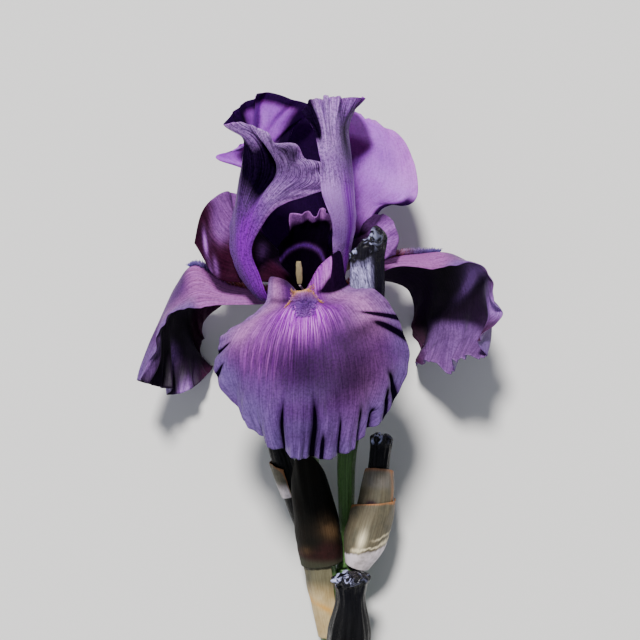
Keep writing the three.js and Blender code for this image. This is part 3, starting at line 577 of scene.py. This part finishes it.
STYLE_NETS = {
    "front": [
        -5, 7.6, 9, -3, 8.4, 7.8, 0, 8.6, 7, 3, 8.2, 8, 5, 7.4, 9.2,
        -9.5, 12.8, 14, -6, 15.2, 12, -1, 17, 10.5, 4.5, 15.5, 11.5, 7.5, 12.5, 13.5,
        -9.5, 19, 20, -6, 21.5, 16.5, 0.6, 23, 14.5, 6.5, 21.5, 16.5, 9, 19.5, 19.5,
        -6.5, 25.5, 22, -2.5, 27.5, 19, 2.5, 28, 18, 7.5, 28.5, 18.5, 10.5, 26.5, 20,
        -5, 31, 26, -1, 32.5, 24, 3.5, 31.5, 23, 8, 33.5, 23, 10, 31.5, 24,
    ],
    "left": [
        -4, 8.5, -6.5, -6, 10.5, -3.2, -7, 10.5, 0, -8, 8.4, 3.4, -8, 4.2, 6,
        -9.5, 17, -11, -12.5, 20, -6, -14, 20.5, -0.8, -16, 15.5, 4.4, -17, 5.6, 7.2,
        -17, 24, -14, -21, 27, -8, -23, 26.5, -2, -26, 18, 4.2, -27.5, 5.5, 7,
        -23, 33, -14, -27, 34, -9.5, -30, 32.5, -4, -35, 23, 3, -36.5, 8.5, 7,
        -25, 40.5, -12, -29.5, 42, -8, -34.5, 41, -4, -41, 34, 1, -44, 21, 5.5,
    ],
    "right": [
        7, 6.5, 3.6, 7.4, 9, 2.4, 7, 10.5, 0, 6, 10.5, -3.2, 4, 8.5, -6.5,
        13.3, 12.5, 1, 14.2, 17, -0.5, 14, 20, -3, 12.8, 20, -7, 10.5, 17, -11,
        22.5, 14, 0, 22, 19.5, -2, 21, 22.5, -4.5, 20.4, 23, -7, 18.5, 21.5, -9,
        31, 14.5, 1, 30.5, 20.5, -1, 28.5, 25.5, -3.5, 26, 27.5, -6, 23, 28, -8,
        36.5, 16, 2, 37.2, 24, 0, 35.2, 30, -2, 31.5, 33, -4.5, 28, 33, -6.5,
    ],
}


# Strengths of each look's colours, on the inner and the outer side
GROOVE_SHARPNESS, GROOVE_SHADE = 4.5, 2.2


def layers(*strengths):
    """For a petal: vivid, warm and pale colours and painted shade. For a bract: three colours, on some
    bracts painted sunlight and painted shade, and a purple stain.
    """
    return np.stack(np.broadcast_arrays(*strengths), 1)


def wing_shadows(u, v):
    """Painted shade in the hollows where the front fall's raised wings meet its shoulders."""
    low = 0.242 - 0.02 * smooth(0.45, 0.7, u) - 0.1 * smooth(0.7, 0.86, u)
    high = 0.25 + 0.04 * smooth(0.3, 0.95, u)
    right = smooth(low - 0.012, low + 0.012, v) * smooth(high + 0.012, high - 0.012, v)
    left = 0.65 * band(v, 0.268, 0.018) * smooth(0.95, 0.85, -u)
    left = left + 0.45 * smooth(0.21, 0.17, v)
    return 1.2 * right * smooth(0.3, 0.42, u) + left * smooth(0.3, 0.45, -u)


# The shade layer is painted shade in the pleats and the wing hollows, and darker patches partly of the
# petal's own colour and partly painted shade. The pale spots are partly painted sheen, and the warm spot
# on the right wing partly painted light.
def front_fall_zones(u, v, reach):
    vivid = spots(u, v, (0.35, -0.45, 0.62, 0.3, 0.1), (1.15, -0.05, 0.41, 0.45, 0.11),
                  (1, 0.45, 0.16, 0.4, 0.08))
    shoulders = smooth(0.35, 0.8, np.abs(u)) * smooth(0.68, 0.5, v)
    warm = shoulders + spots(u, v, (0.8, 0.6, 0.19, 0.25, 0.04), (0.3, 0.6, 0.8, 0.3, 0.2),
                             (0.15, -0.6, 0.66, 0.25, 0.1))
    pale = 0.8 * smooth(0.72, 1.02, reach) + spots(
        u, v, (0.7, -0.5, 0.86, 0.35, 0.15), (0.35, 0.1, 0.86, 0.25, 0.06),
        (0.35, -0.05, 0.74, 0.35, 0.05), (0.6, -0.78, 0.76, 0.18, 0.1))
    shade = spots(u, v, (0.52, -0.05, 0.64, 0.45, 0.12), (0.4, 0.5, 0.68, 0.25, 0.08),
                  (0.5, 0.38, 0.77, 0.22, 0.07), (0.6, 0.62, 0.57, 0.22, 0.04),
                  (0.15, -0.5, 0.64, 0.2, 0.07))
    shade = np.maximum(shade, wing_shadows(u, v))
    angle = np.degrees(fall_sheets["front"].fan(u, v)[0])
    # Painted shade along the pleats
    for degrees, width, _, start in fall_sheets["front"].folds:
        groove = band(angle, degrees, width) ** GROOVE_SHARPNESS
        shade = shade + GROOVE_SHADE * smooth(start - 0.03, 0.6 + start * 0.4, reach) * groove
    return layers(vivid, warm, pale, shade), layers(0, 0, 0.3 * reach, 0)


def side_fall_zones(u, v, reach, lit, warm):
    """Zones of both faces of a side fall: lit is painted light on its dark under face where its margin
    curls.
    """
    vivid = smooth(0.05, 0.2, v) * smooth(0.52, 0.42, v)
    edges, margin = 0.4 * smooth(0.4, 0.8, np.abs(u)), 0.8 * smooth(0.7, 1, reach)
    return layers(vivid, edges, margin, 0), layers(0, warm, lit, 0)


def left_fall_zones(u, v, reach):
    # Painted light where the margins of the under face curl over
    lit = spots(u, v, (0.6, 0.7, 0.58, 0.3, 0.08), (0.9, 1, 0.93, 0.13, 0.04),
                (0.9, 0.84, 0.85, 0.09, 0.04), (0.9, -0.24, 0.88, 0.07, 0.04),
                (0.9, -0.46, 1, 0.1, 0.04))
    return side_fall_zones(u, v, reach, lit, 0.6 * smooth(0.6, 0.9, -u))


def right_fall_zones(u, v, reach):
    # Painted light on the under face: the lower scoop, a curl and two curled margins
    lit_scoop = 0.42 * smooth(0.81, 0.87, v + 0.2 * u) * smooth(0.85, 0.6, np.abs(u))
    lit_curl = spots(u, v - 0.1 * u, (1.8, -0.1, 0.64, 0.26, 0.028))
    lit = lit_scoop + lit_curl + spots(u, v, (1.4, -0.85, 0.8, 0.25, 0.09), (0.9, -0.6, 0.595, 0.45, 0.035))
    maroon = 0.8 * smooth(0.68, 0.85, -u) * smooth(0.5, 0.42, v)
    margin = 0.4 * smooth(0.85, 1, reach) * smooth(0.5, 0.6, v)
    return side_fall_zones(u, v, reach, lit, maroon + margin)


def left_standard_zones(u, v, reach):
    rib_width = 0.28 + 0.4 * smooth(0.58, 0.45, v)
    midrib = band(u, 0.3 + 0.5 * smooth(0.5, 0.25, v), rib_width) * smooth(0.7, 0.5, v)
    warm = smooth(0.7, 0.95, u) * smooth(0.4, 0.55, v) * smooth(0.9, 0.6, v)
    # A spot of painted light on the wing
    pale = smooth(0.6, 0.95, v) + spots(u, v, (0.9, 0.68, 0.64, 0.25, 0.07))
    # Painted shade at the claw, under the flap and in the hollows of the outer face; the inner face is
    # in painted shade but for a painted lit patch
    claw_shade = 0.7 * smooth(0.32, 0.22, v)
    flap_shade = spots(u, v, (0.65, 0.58, 0.88, 0.22, 0.16)) * smooth(1, 0.97, v)
    shade = claw_shade + flap_shade + spots(
        u, v, (1.8, 0.22, 0.78, 0.15, 0.15), (0.8, -0.04, 0.72, 0.17, 0.12),
        (0.4, 0.68, 0.93, 0.12, 0.06), (1.1, -0.03, 0.83, 0.07, 0.07), (-0.5, 0.12, 0.9, 0.06, 0.05))
    lit = smooth(0.2, 0.35, -u) * smooth(0.92, 0.8, -u) * smooth(0.78, 0.86, v)
    inner_shade = 1 - lit * smooth(0.975, 0.95, v)
    return layers(0, 0, 0.3 * smooth(0.7, 0.9, v), inner_shade), layers(midrib, warm, pale, shade)


def right_standard_zones(u, v, reach):
    # Painted light on a stripe of the outer face that faces down, away from the lamp
    lit_stripe = smooth(0.4, 0.5, v) * smooth(0.76, 0.64, v)
    midrib = np.maximum(band(u, 0.15, 0.32) * smooth(0.8, 0.66, v), 0.25 * lit_stripe)
    warm = smooth(0.5, 0.35, v) * 0.8
    pale = smooth(0.5, 0.9, v) * smooth(-0.5, 0.3, -u) + 1.6 * lit_stripe
    # Painted shade on the folded wing and on a streak, and inside the cup of the inner face
    wing_shade = 1.5 * smooth(0.6, 0.8, -u) * smooth(0.82, 0.88, v)
    shade = wing_shade + spots(u, v, (0.9, 0.34, 0.86, 0.16, 0.1))
    inner = layers(0, 0, 0.3 * v, smooth(0.95, 0.85, v))
    return inner, layers(midrib, warm, pale, shade)


def back_standard_zones(u, v, reach):
    # Painted shade: the middle valley with the wedge of shadow cast by the right standard, the claw, and
    # the underside of the rolled lower margin
    edge = -0.38 - 0.17 * smooth(0.68, 0.8, v)
    middle = smooth(edge - 0.05, edge + 0.03, u) * smooth(0.85, 0.72, u)
    middle = middle * (1 - 0.18 * smooth(0.3, 0.38, -u))
    base = smooth(0.46, 0.36, v)
    hem_shade = smooth(0.9, 0.95, -u) * smooth(0.66, 0.61, v)
    warm, pale = smooth(0.6, 1, -u), 1 - 0.6 * smooth(0.6, 0.75, v)
    return layers(0, warm, pale, middle + base + hem_shade), layers(0, 0, 0.3 * v, 0)


def front_style_zones(u, v, reach):
    # Painted shade over the outer face below the crest
    column_shade = smooth(0.9, 0.83, v + 0.06 * u * u + 0.02 * np.sin(8 * u))
    lip = 0.8 * band(v + 0.06 * u * u, 0.5, 0.03)
    return [layers(lip, 0, smooth(0.84, 0.9, v), column_shade * (1 - lip))] * 2


def left_style_zones(u, v, reach):
    # Painted highlights along the crest's creases and in a spot, and painted shade in the crumpled part,
    # whose maroon is its own colour
    glint_creases = spots(u, v, (1, 0.75, 0.9, 0.16, 0.04), (1, 0.93, 0.8, 0.12, 0.04))
    lit = spots(u, v, (1, 0.4, 0.43, 0.22, 0.04)) + glint_creases * (0.6 + 0.4 * np.sin(52 * v + 14 * u))
    crumpled = smooth(0.25, 0.6, u + 0.12 * np.sin(14 * v)) * (1 - lit)
    pale = 0.7 * smooth(0.6, 0.85, v) * (1 - crumpled) + 1.6 * lit
    return [layers(0, crumpled, pale, 0.8 * crumpled)] * 2


def right_style_zones(u, v, reach):
    # Painted shade on the crest's left part and at its corners
    shade = np.maximum(0.8 * smooth(1, 1.06, reach), 0.85 * smooth(0.1, 0.4, u))
    return [layers(0, 0, smooth(0.7, 0.85, v), shade)] * 2


# Petals and style arms
fall_sheets = {side: Sheet(claw(FALL_AZIMUTHS[side]), *net) for side, net in FALL_NETS.items()}
FALLS = {
    "front": (200, 150, (fall_inner, fall_outer), front_fall_zones),
    "left": (150, 120, (side_fall_inner, fall_outer), left_fall_zones),
    "right": (150, 130, (side_fall_inner, fall_outer), right_fall_zones),
}
for side, facing in FALLS.items():
    shell("fall_" + side, fall_sheets[side], PETAL_SKIN, *facing, "fall_petal")
STANDARDS = {"left": left_standard_zones, "right": right_standard_zones, "back": back_standard_zones}
for side, zones in STANDARDS.items():
    sheet = Sheet(claw(STANDARD_AZIMUTHS[side]), *STANDARD_NETS[side])
    shell("standard_" + side, sheet, PETAL_SKIN, 140, 130, (standard_inner, standard_outer),
          zones, "standard_petal")
STYLES = {"front": front_style_zones, "left": left_style_zones, "right": right_style_zones}
for side, zones in STYLES.items():
    sheet = Sheet(style_root(FALL_AZIMUTHS[side]), STYLE_NETS[side], 0.5, [(1.3, 11, 0.9, 0.4)])
    shell("style_" + side, sheet, STYLE_SKIN, 60, 60, (style_inner, style_outer), zones, "style_arm")


# Beards: hairs along the midrib of each fall's upper face
HAIR_SIDES, HAIR_SEGMENTS = 4, 3


def beard_roots(share, run, count, tone, grown):
    """Places of a group's hairs: u, v, place along the run, tone, lean outwards and growth. A
    group with no tone of its own tapers, the others bend round it."""
    v = random.uniform(*run, count)
    place = (v - run[0]) / (run[1] - run[0])
    lateral = np.clip(random.normal(0, 0.45, count), -1, 1)
    if tone is None:
        u = lateral * share * (1 - 0.6 * place**2)
        tones = place
    else:
        u = random.uniform(-share, share, count)
        v = v + 0.8 * u**2
        tones = np.full(count, tone)
        lateral = 0.3 * u / share
    return u, v, place, tones, lateral, np.full(count, grown)


def hairs(name, sheet, groups, length, radius, look):
    """Tapered hairs on a fall's upper face, in groups of (half width, run of v, count, tone,
    share of the length)."""
    found = zip(*(beard_roots(*group) for group in groups))
    u, v, place, tones, lateral, grown = (np.concatenate(part) for part in found)
    count = len(u)
    root = sheet.skin(u, v, np.full(count, -PETAL_SKIN / 2))
    up = -sheet.normals(u, v, sheet.points, 0.01)
    ahead = unit(sheet.points(u, np.clip(v + 0.02, 0, 1)) - sheet.points(u, v - 0.02))
    side = np.cross(up, ahead)
    forward = random.normal(0.25, 0.25, count)[:, None]
    sideways = (random.normal(0, 0.35, count) + 0.6 * lateral)[:, None]
    aim = unit(up + ahead * forward + side * sideways)
    swell = 0.55 + 0.45 * np.sin(np.pi * np.clip(place, 0.06, 0.94))
    long = (length * grown * swell * random.uniform(0.7, 1.15, count))[:, None, None]
    bend = (ahead * random.normal(0.2, 0.15, count)[:, None])[:, None]
    t = np.linspace(0, 1, HAIR_SEGMENTS + 1)
    centre = root[:, None] + long * (aim[:, None] * t[:, None] + bend * (t**2)[:, None])
    angle = (np.arange(HAIR_SIDES) * 2 * math.pi / HAIR_SIDES)[:, None]
    x = unit(np.cross(aim, side))
    y = np.cross(aim, x)
    circle = np.cos(angle) * x[:, None] + np.sin(angle) * y[:, None]
    wide = radius * (1 - 0.75 * t**1.5)
    points = centre[:, :, None] + wide[:, None, None] * circle[:, None]
    per_hair = (HAIR_SEGMENTS + 1) * HAIR_SIDES
    firsts = (np.arange(count) * per_hair)[:, None, None]
    rim = np.arange(HAIR_SIDES)
    faces = [(firsts + grid_faces(HAIR_SIDES, HAIR_SEGMENTS, wrap=True)).reshape(-1, 4),
             (firsts + np.array([rim[::-1], HAIR_SEGMENTS * HAIR_SIDES + rim])).reshape(-1, HAIR_SIDES)]
    chances = np.repeat(random.uniform(0, 1, count), per_hair)
    steps = np.tile(np.repeat(t, HAIR_SIDES), count)
    marks = np.stack([np.repeat(tones, per_hair), steps, chances], 1)
    finish_piece(add_mesh(name, points.reshape(-1, 3), faces, [look], {"hair": marks}), name)


front_hair = hair_look("beard_front_hair", [
    (0, (0.95, 0.55, 0.08)), (0.14, (0.8, 0.36, 0.1)), (0.24, (0.5, 0.17, 0.4)),
    (0.6, (0.26, 0.06, 0.5)), (1, (0.5, 0.14, 0.75))])
side_hair = hair_look("beard_side_hair", [
    (0, (0.45, 0.12, 0.03)), (0.45, (0.4, 0.09, 0.05)), (0.65, (0.12, 0.05, 0.2)),
    (1, (0.1, 0.08, 0.35))])
hairs("beard_front", fall_sheets["front"],
      [(0.3, (0.2, 0.42), 2000, None, 1), (0.4, (0.19, 0.21), 500, 0.08, 0.6)], 1.9, 0.12, front_hair)
for side in ("left", "right"):
    hairs("beard_" + side, fall_sheets[side], [(0.14, (0.13, 0.46), 1100, None, 1)],
          2.8, 0.17, side_hair)


# Stamens: a thread from the disc, and a flat pollen sac with its broad face to the light
pollen = tissue_look("anther_pollen", [(0, (0.32, 0.26, 0.13)), (1, (0.46, 0.37, 0.2))],
                     rough=0.8, relief=0.8)
thread = tissue_look("filament_tissue", [(0, (0.35, 0.25, 0.35)), (1, (0.6, 0.5, 0.5))])
THREAD_RADII = [0.6, 0.45]
STAMENS = {
    "front": ([-0.6, 2, 6.6], [-2, 4.2, 11.6], [-2.4, 13.4, 15.6], (1, 0, 0), (0.7, 1.3)),
    "left": ([-6.4, 3.4, 0], [-13, 7.5, 0.6], [-22.5, 13.2, 1.2], (0, 0, 1), (1.3, 0.7)),
    "right": ([6.4, 3.6, -0.6], [13, 8.6, -1.6], [21.5, 15.4, -4], (0, 0, 1), (1.3, 0.7)),
}


def anther_radius(wide, deep):
    def radius(t, a):
        flat = np.hypot(np.cos(a) / wide, np.sin(a) / deep)
        body = 0.45 + 0.55 * np.sin(np.pi * (0.06 + 0.88 * t)) ** 0.5
        return body / flat * (1 + 0.04 * np.sin(14 * t + 3 * a))
    return radius


for side, (bend, foot, tip, across, section) in STAMENS.items():
    start = around(STAMEN_RING, FALL_AZIMUTHS[side], STAMEN_RING_HEIGHT)
    filament = tube("filament_" + side, [start, bend, foot], radii_of(THREAD_RADII), 12, 24, thread,
                    across)
    finish_piece(filament, "filament_" + side)
    sunk = np.array(foot) + 0.5 * unit(np.array(tip) - np.array(foot))
    anther = tube("anther_" + side, [sunk, tip], anther_radius(*section), 24, 30, pollen, across)
    finish_piece(anther, "anther_" + side)


# Perianth tube, ovary and stalk
green_skin = tissue_look("stalk_skin", [
    (0, (0.09, 0.2, 0.05)), (0.5, (0.12, 0.26, 0.07)), (1, (0.1, 0.22, 0.08))],
    (3, 90), rough=0.42, relief=0.25)
tube_skin = tissue_look("tube_skin", [
    (0, (0.06, 0.02, 0.07)), (0.25, (0.07, 0.1, 0.06)), (0.6, (0.12, 0.24, 0.08))],
    (3, 90), rough=0.45, relief=0.25)
TUBE_AXIS = [
    [0, 0, 0], list(-12 * UP_THE_BLOOM), [0, -30, -8], [0.5, -50, -13.5], [1.5, -70, -18.5],
    [4, -88, -22.5], [5.5, -97, -24.6],
]
TUBE_RADII = [DISC_RADIUS, 4.6, 3.9, 3.9, 4.6, 5.4, 4.4]
STALK_RADIUS = 4.8
STALK_AXIS = [
    [14, -178, TABLE + STALK_RADIUS], [13.6, -168, TABLE + STALK_RADIUS],
    [12.6, -156, TABLE + STALK_RADIUS + 1.6], [10.6, -138, -34.6], [8, -118, -30],
    [6.2, -104, -26.4], [5.7, -98, -24.9],
]
STALK_RADII = [STALK_RADIUS] * 4 + [5.4, 5, 4.4]
BRANCHES = [
    ([[8.4, -124, -32], [12.5, -119, -32.6], [15.3, -115, -32.3], [15.9, -112.3, -31.6]],
     [3.4, 3.3, 3.2, 3.1]),
    ([[9.5, -122, -31], [15, -119.5, -28.5], [19.4, -116.3, -25.2], [20.6, -112.3, -23.95]],
     [3.2, 3.4, 3.4, 3.4]),
    ([[6.6, -113, -28.6], [3, -107.5, -30.6], [0.9, -102, -31], [0.3, -99.5, -31]],
     [3, 2.9, 2.8, 2.8]),
    ([[13.8, -174, -41], [14.6, -170, -37.5], [15.3, -166, -33.2], [15.6, -163.6, -31]],
     [3.6, 4, 4.1, 4.1]),
]


def tube_radius(t, a):
    """The ovary swells into three rounded lobes."""
    return radii_of(TUBE_RADII)(t, a) * (1 + 0.05 * np.cos(3 * a) * smooth(0.4, 0.7, t))


def grow_onto(stem, branch):
    """The branch becomes one closed skin with the stem."""
    union = stem.modifiers.new("union", "BOOLEAN")
    union.operation, union.solver, union.object = "UNION", "EXACT", branch
    grown = bpy.data.meshes.new_from_object(stem.evaluated_get(bpy.context.evaluated_depsgraph_get()))
    stem.modifiers.clear()
    stem.data = grown
    bpy.data.objects.remove(branch)


finish_piece(tube("ovary_tube", TUBE_AXIS, tube_radius, 48, 90, tube_skin), "ovary_tube")
stem = tube("stem", STALK_AXIS, radii_of(STALK_RADII), 48, 80, green_skin)
for axis, radii in BRANCHES:
    grow_onto(stem, tube("branch", axis, radii_of(radii), 40, 24, green_skin))
finish_piece(stem, "stem")


# Buds: furled petals wound about each other, with creased tips
bud_skin = tissue_look("bud_skin", [
    (0, (0.004, 0.005, 0.005)), (0.6, (0.007, 0.007, 0.008)), (1, (0.006, 0.006, 0.01))],
    (5, 50), rough=0.2, relief=0.7, crinkle=0.8, shine=0.12, gloss_from=0.9)
upper_skin = tissue_look("bud_upper_skin", [
    (0, (0.09, 0.2, 0.06)), (0.38, (0.08, 0.17, 0.05)), (0.5, (0.015, 0.012, 0.025)),
    (0.8, (0.008, 0.006, 0.015)), (1, (0.006, 0.005, 0.01))],
    (5, 50), rough=0.17, relief=0.8, crinkle=0.8, bloom=(0.7, 0.915, (0.6, 0.53, 1.0)),
    shine=0.2, gloss_from=0.88)
BUD_SIDES, BUD_STEPS = 110, 150
LAP, CLOSING = 0.9, 0.965


def bud(name, axis, radii, folds, twist, depth, look, tilt=0.0, crumple=1.0):
    """folds is the number of petals that show, twist their turn, depth the step of each lap and
    tilt the slant of the tip in mm."""
    phases = random.uniform(0, 2 * math.pi, (8, 2))

    def radius(t, a):
        turn = (folds * a + twist * t) / (2 * math.pi)
        saw = turn - np.floor(turn)
        wound = np.where(saw < LAP, saw / LAP, (1 - saw) / (1 - LAP)) - 0.5
        body = 1 + depth * 1.6 * wound * smooth(0, 0.35, t)
        for k, (first, second) in enumerate(phases):
            wrinkle = np.sin((5 + 2 * k) * a + (6 - 1.5 * k) * t + first + np.sin(9 * t + second))
            body += 0.010 * crumple * smooth(0.1, 0.5, t) * wrinkle
        pleats = np.sin(7 * a + 3 * np.sin(2 * a) + 20 * t)
        body += 0.10 * crumple * smooth(0.86, 1, t) * pleats
        closing = np.sqrt(np.clip(1 - ((t - CLOSING) / 0.036) ** 2, 0, 1))
        body = body * np.where(t > CLOSING, 0.25 + 0.75 * closing, 1)
        return radii_of(radii)(t, a) * body

    def shift(t, a):
        slant = -tilt * (0.5 - 0.5 * np.cos(a - 0.4))
        lips = 1.2 * crumple * (1 + np.sin(5 * a + 2 * np.sin(3 * a))) * 0.5
        return smooth(0.8, 1, t) * (slant - lips)

    piece = tube(name, axis, radius, BUD_SIDES, BUD_STEPS, look, shift=shift)
    finish_piece(piece, name)


bud("bud_upper", [
    [16.1, -111.3, -31.3], [16.8, -98, -28.6], [16.8, -82, -22], [17, -65, -14.6], [20, -42, -4.5],
    [23, -18, 7], [24.4, 0, 14], [24.5, 14, 19.5], [25.5, 28, 23],
], [3.1, 3, 3.4, 3.8, 4.4, 5.4, 6.8, 6.6, 6.2], 3, 5, 0.07, upper_skin, tilt=9, crumple=1.6)
bud("bud_right", [
    [20.8, -111.9, -23.8], [25, -98, -19.5], [29, -82, -17.5], [30, -69, -16], [31, -55.5, -14.5],
], [3.4, 5.6, 5.2, 4.2, 4.6], 3, 4, 0.07, bud_skin)
bud("bud_left", [
    [0.2, -99.1, -31], [-3, -88, -31], [-7, -74, -29], [-11, -62, -26.5], [-13.5, -54.5, -25],
], [2.8, 4, 4.4, 4.2, 2.4], 3, 4, 0.07, bud_skin, crumple=0.6)
bud("bud_low", [
    [15.8, -163, -30.5], [17, -150, -22.5], [18, -136, -16.5], [18.4, -122, -11.5], [18.4, -111, -8.2],
], [4.2, 8.6, 8.8, 6, 8], 4, 3, 0.06, bud_skin, tilt=2)


# Bracts
class Bract(Sheet):
    """A papery sheath round a smooth axis, from one angle to another. lean shortens it at its
    edges, and slant at its far side."""

    def __init__(self, axis, radii, start, end, lean, slant=0):
        self.axis, self.radii, self.turn = axis, radii, (start, end)
        self.lean, self.slant = lean, slant
        self.foot, self.waves, self.folds, self.hollows = 0.3, [(0.25, 14, 0.5, 0.3)], (), ()
        self.level = TABLE

    def plain(self, u, v):
        angle = np.radians(self.turn[0] + (self.turn[1] - self.turn[0]) * (u + 1) / 2)
        t = v * (1 - self.lean * u * u - self.slant * (u + 1) / 2)
        _, right, forward = directions(self.axis, t, 0.01)
        outward = np.cos(angle)[:, None] * right + np.sin(angle)[:, None] * forward
        return through(self.axis, t) + through(self.radii, t) * outward


def bloom_bract_zones(u, v, reach):
    red = 0.8 * smooth(0.42, 0.22, v + 0.05 * np.sin(5 * u))
    brown = spots(u, v, (1, -0.5, 0.5, 0.3, 0.09), (0.5, 0.4, 0.3, 0.2, 0.06))
    grey_green = 0.8 * 0.6 * smooth(0.2, 0.04, v - 0.1 * u)
    return [layers(red, grey_green, brown, 0)] * 2


def stem_bract_zones(u, v, reach):
    # Painted shade: the second layer darkens the top, which lies in the bloom's shadow
    top = smooth(0.45, 0.68, v)
    red = 0.9 * top * band(u + 2 * (v - 0.7), 0.45, 0.3)
    return [layers(red, 0.85 * top, band(v - 0.1 * u, 0.38, 0.05), 0)] * 2


def right_outer_zones(u, v, reach):
    # Painted sunlight on pale paper: the bulge at the base, and sunlit patches and folds in cream
    line = v + 0.17 * u + 0.008 * np.sin(17 * u + 1) + 0.006 * np.sin(43 * u)
    lit_bulge = smooth(0.31, 0.26, line)
    folds = band(line, 0.34, 0.02 + 0.012 * np.sin(7 * u))
    folds = folds + 0.7 * band(line, 0.43, 0.012) * smooth(0.1, 0.4, -u)
    sunlit = (spots(u, v, (1, 0.05, 0.45, 0.1, 0.12)) + folds) * smooth(-0.35, -0.2, -u)
    brown = 0.9 * (smooth(0.93, 0.99, reach) + smooth(0.86, 0.96, -u))
    return [layers(lit_bulge, sunlit, brown, 0)] * 2


def right_inner_zones(u, v, reach):
    brown = 0.7 * smooth(0.93, 1, reach) + 0.8 * band(u, -0.42, 0.05)
    stain = spots(u, v, (1.3, 0.1, 0.63, 0.14, 0.035))
    return [layers(0.08 * smooth(0.75, 0.85, v), 0, brown, stain)] * 2


def plain_bract_zones(u, v, reach):
    return [layers(smooth(0.5, 0.1, v), 0, smooth(0.92, 1, reach) * 0.7, 0)] * 2


paper = paper_look("bract_paper", (0.14, 0.12, 0.075), (0.08, 0.075, 0.05), (1, 0.88, 0.94),
                   (0.95, 0.84, 0.56), (0.4, 0.16, 0.05))
# A near-black copy of the bract paper: painted shade for the bract that lies in the bloom's shadow
shaded_paper = paper_look("bract_shaded", (0.006, 0.006, 0.005), (0.01, 0.008, 0.006), (0.035, 0.012, 0.012),
                        (0.06, 0.08, 0.05), (0.12, 0.07, 0.035), shine=0.08)
# Its second colour is painted shade over the top of the stem bract
stem_paper = paper_look("bract_stem", (0.66, 0.52, 0.28), (0.5, 0.36, 0.16), (0.12, 0.03, 0.03),
                        (0.07, 0.08, 0.05), (0.75, 0.42, 0.1))
BRACTS = {
    "spathe_bloom_outer": (shaded_paper, bloom_bract_zones,
        [[6.8, -109, -27.5], [5.6, -100, -25.4], [3.2, -84, -21.6], [-0.6, -62, -17]],
        [8.6, 9.2, 8.4, 5.6], 0, 190, 0.25),
    "spathe_stem": (stem_paper, stem_bract_zones,
        [[10.8, -140, -35], [9.2, -127, -32], [7.4, -114, -28.8], [6.2, -104, -26.4]],
        [5.5, 6.6, 7.6, 7.4], 62, 178, 0.08),
    "spathe_right_inner": (paper, right_inner_zones,
        [[22, -107.5, -22.4], [25.4, -97, -19.4], [29, -82, -17.5], [30, -69, -16]],
        [5.2, 7.3, 6.9, 5.6], -60, 240, 0.12),
    "spathe_right_outer": (paper, right_outer_zones,
        [[21.3, -110, -23.2], [24.2, -100, -20.2], [27.4, -88, -18.3], [28.8, -80, -17.3]],
        [5, 8.6, 8.6, 8.2], -10, 200, 0.05, 0.28),
    "spathe_left": (paper, plain_bract_zones,
        [[-4.8, -81.5, -30.1], [-7.4, -73, -28.8], [-9.6, -66.5, -27.4]],
        [5, 5.6, 5.4], 100, 280, 0.25),
    "spathe_low": (paper, plain_bract_zones,
        [[15.75, -163.6, -30.9], [16.8, -153, -24.2], [17.4, -145, -20]],
        [4.9, 9.3, 10.3], 20, 220, 0.3),
}
for name, (look, zones, *wrap) in BRACTS.items():
    shell(name, Bract(*wrap), BRACT_SKIN, 80, 70, (look, look), zones, "bract")


# Table, light and camera. Places are in metres from the heart, but the table's are in mm
half = 2000
KEY_FROM, KEY_STRENGTH, KEY_ANGLE = (-0.12, 0.52, 0.85), 5.4, math.radians(9)
FILL_FROM, FILL_POWER, FILL_SIZE = (-0.7, -0.5, 1.1), 2.5, 1.2
SKY_COLOR, SKY_STRENGTH = (0.85, 0.9, 1, 1), 0.28
CAMERA_FROM = (0.006, -0.0096, 0.9)
SENSOR_MM, LENS_MM = 36, 126.56
middle = Vector(HEART * MM)


def lamp(name, kind, aim_from, energy, **settings):
    data = bpy.data.lights.new(name, kind)
    data.energy = energy
    for key, value in settings.items():
        setattr(data, key, value)
    light = bpy.data.objects.new(name, data)
    light.location = middle + Vector(aim_from)
    light.rotation_euler = Vector(aim_from).to_track_quat("Z", "Y").to_euler()
    bpy.context.scene.collection.objects.link(light)


corners = [[x * half, y * half, TABLE] for x, y in ((-1, -1), (1, -1), (1, 1), (-1, 1))]
table_top = Look("table_top", Base_Color=(0.8, 0.8, 0.79, 1), Roughness=0.7).material
add_mesh("table", corners, [np.array([[0, 1, 2, 3]])], [table_top])

lamp("key", "SUN", KEY_FROM, KEY_STRENGTH, angle=KEY_ANGLE, color=(1, 0.97, 0.94))
lamp("fill", "AREA", FILL_FROM, FILL_POWER, size=FILL_SIZE, color=(0.9, 0.94, 1))
world = bpy.data.worlds.new("studio")
world.use_nodes = True
sky = world.node_tree.nodes["Background"].inputs
sky[0].default_value, sky[1].default_value = SKY_COLOR, SKY_STRENGTH
bpy.context.scene.world = world

view = bpy.data.cameras.new("photo_view")
view.sensor_width, view.lens = SENSOR_MM, LENS_MM
camera = bpy.data.objects.new("photo_view", view)
camera.location = middle + Vector(CAMERA_FROM)
bpy.context.scene.collection.objects.link(camera)
bpy.context.scene.camera = camera
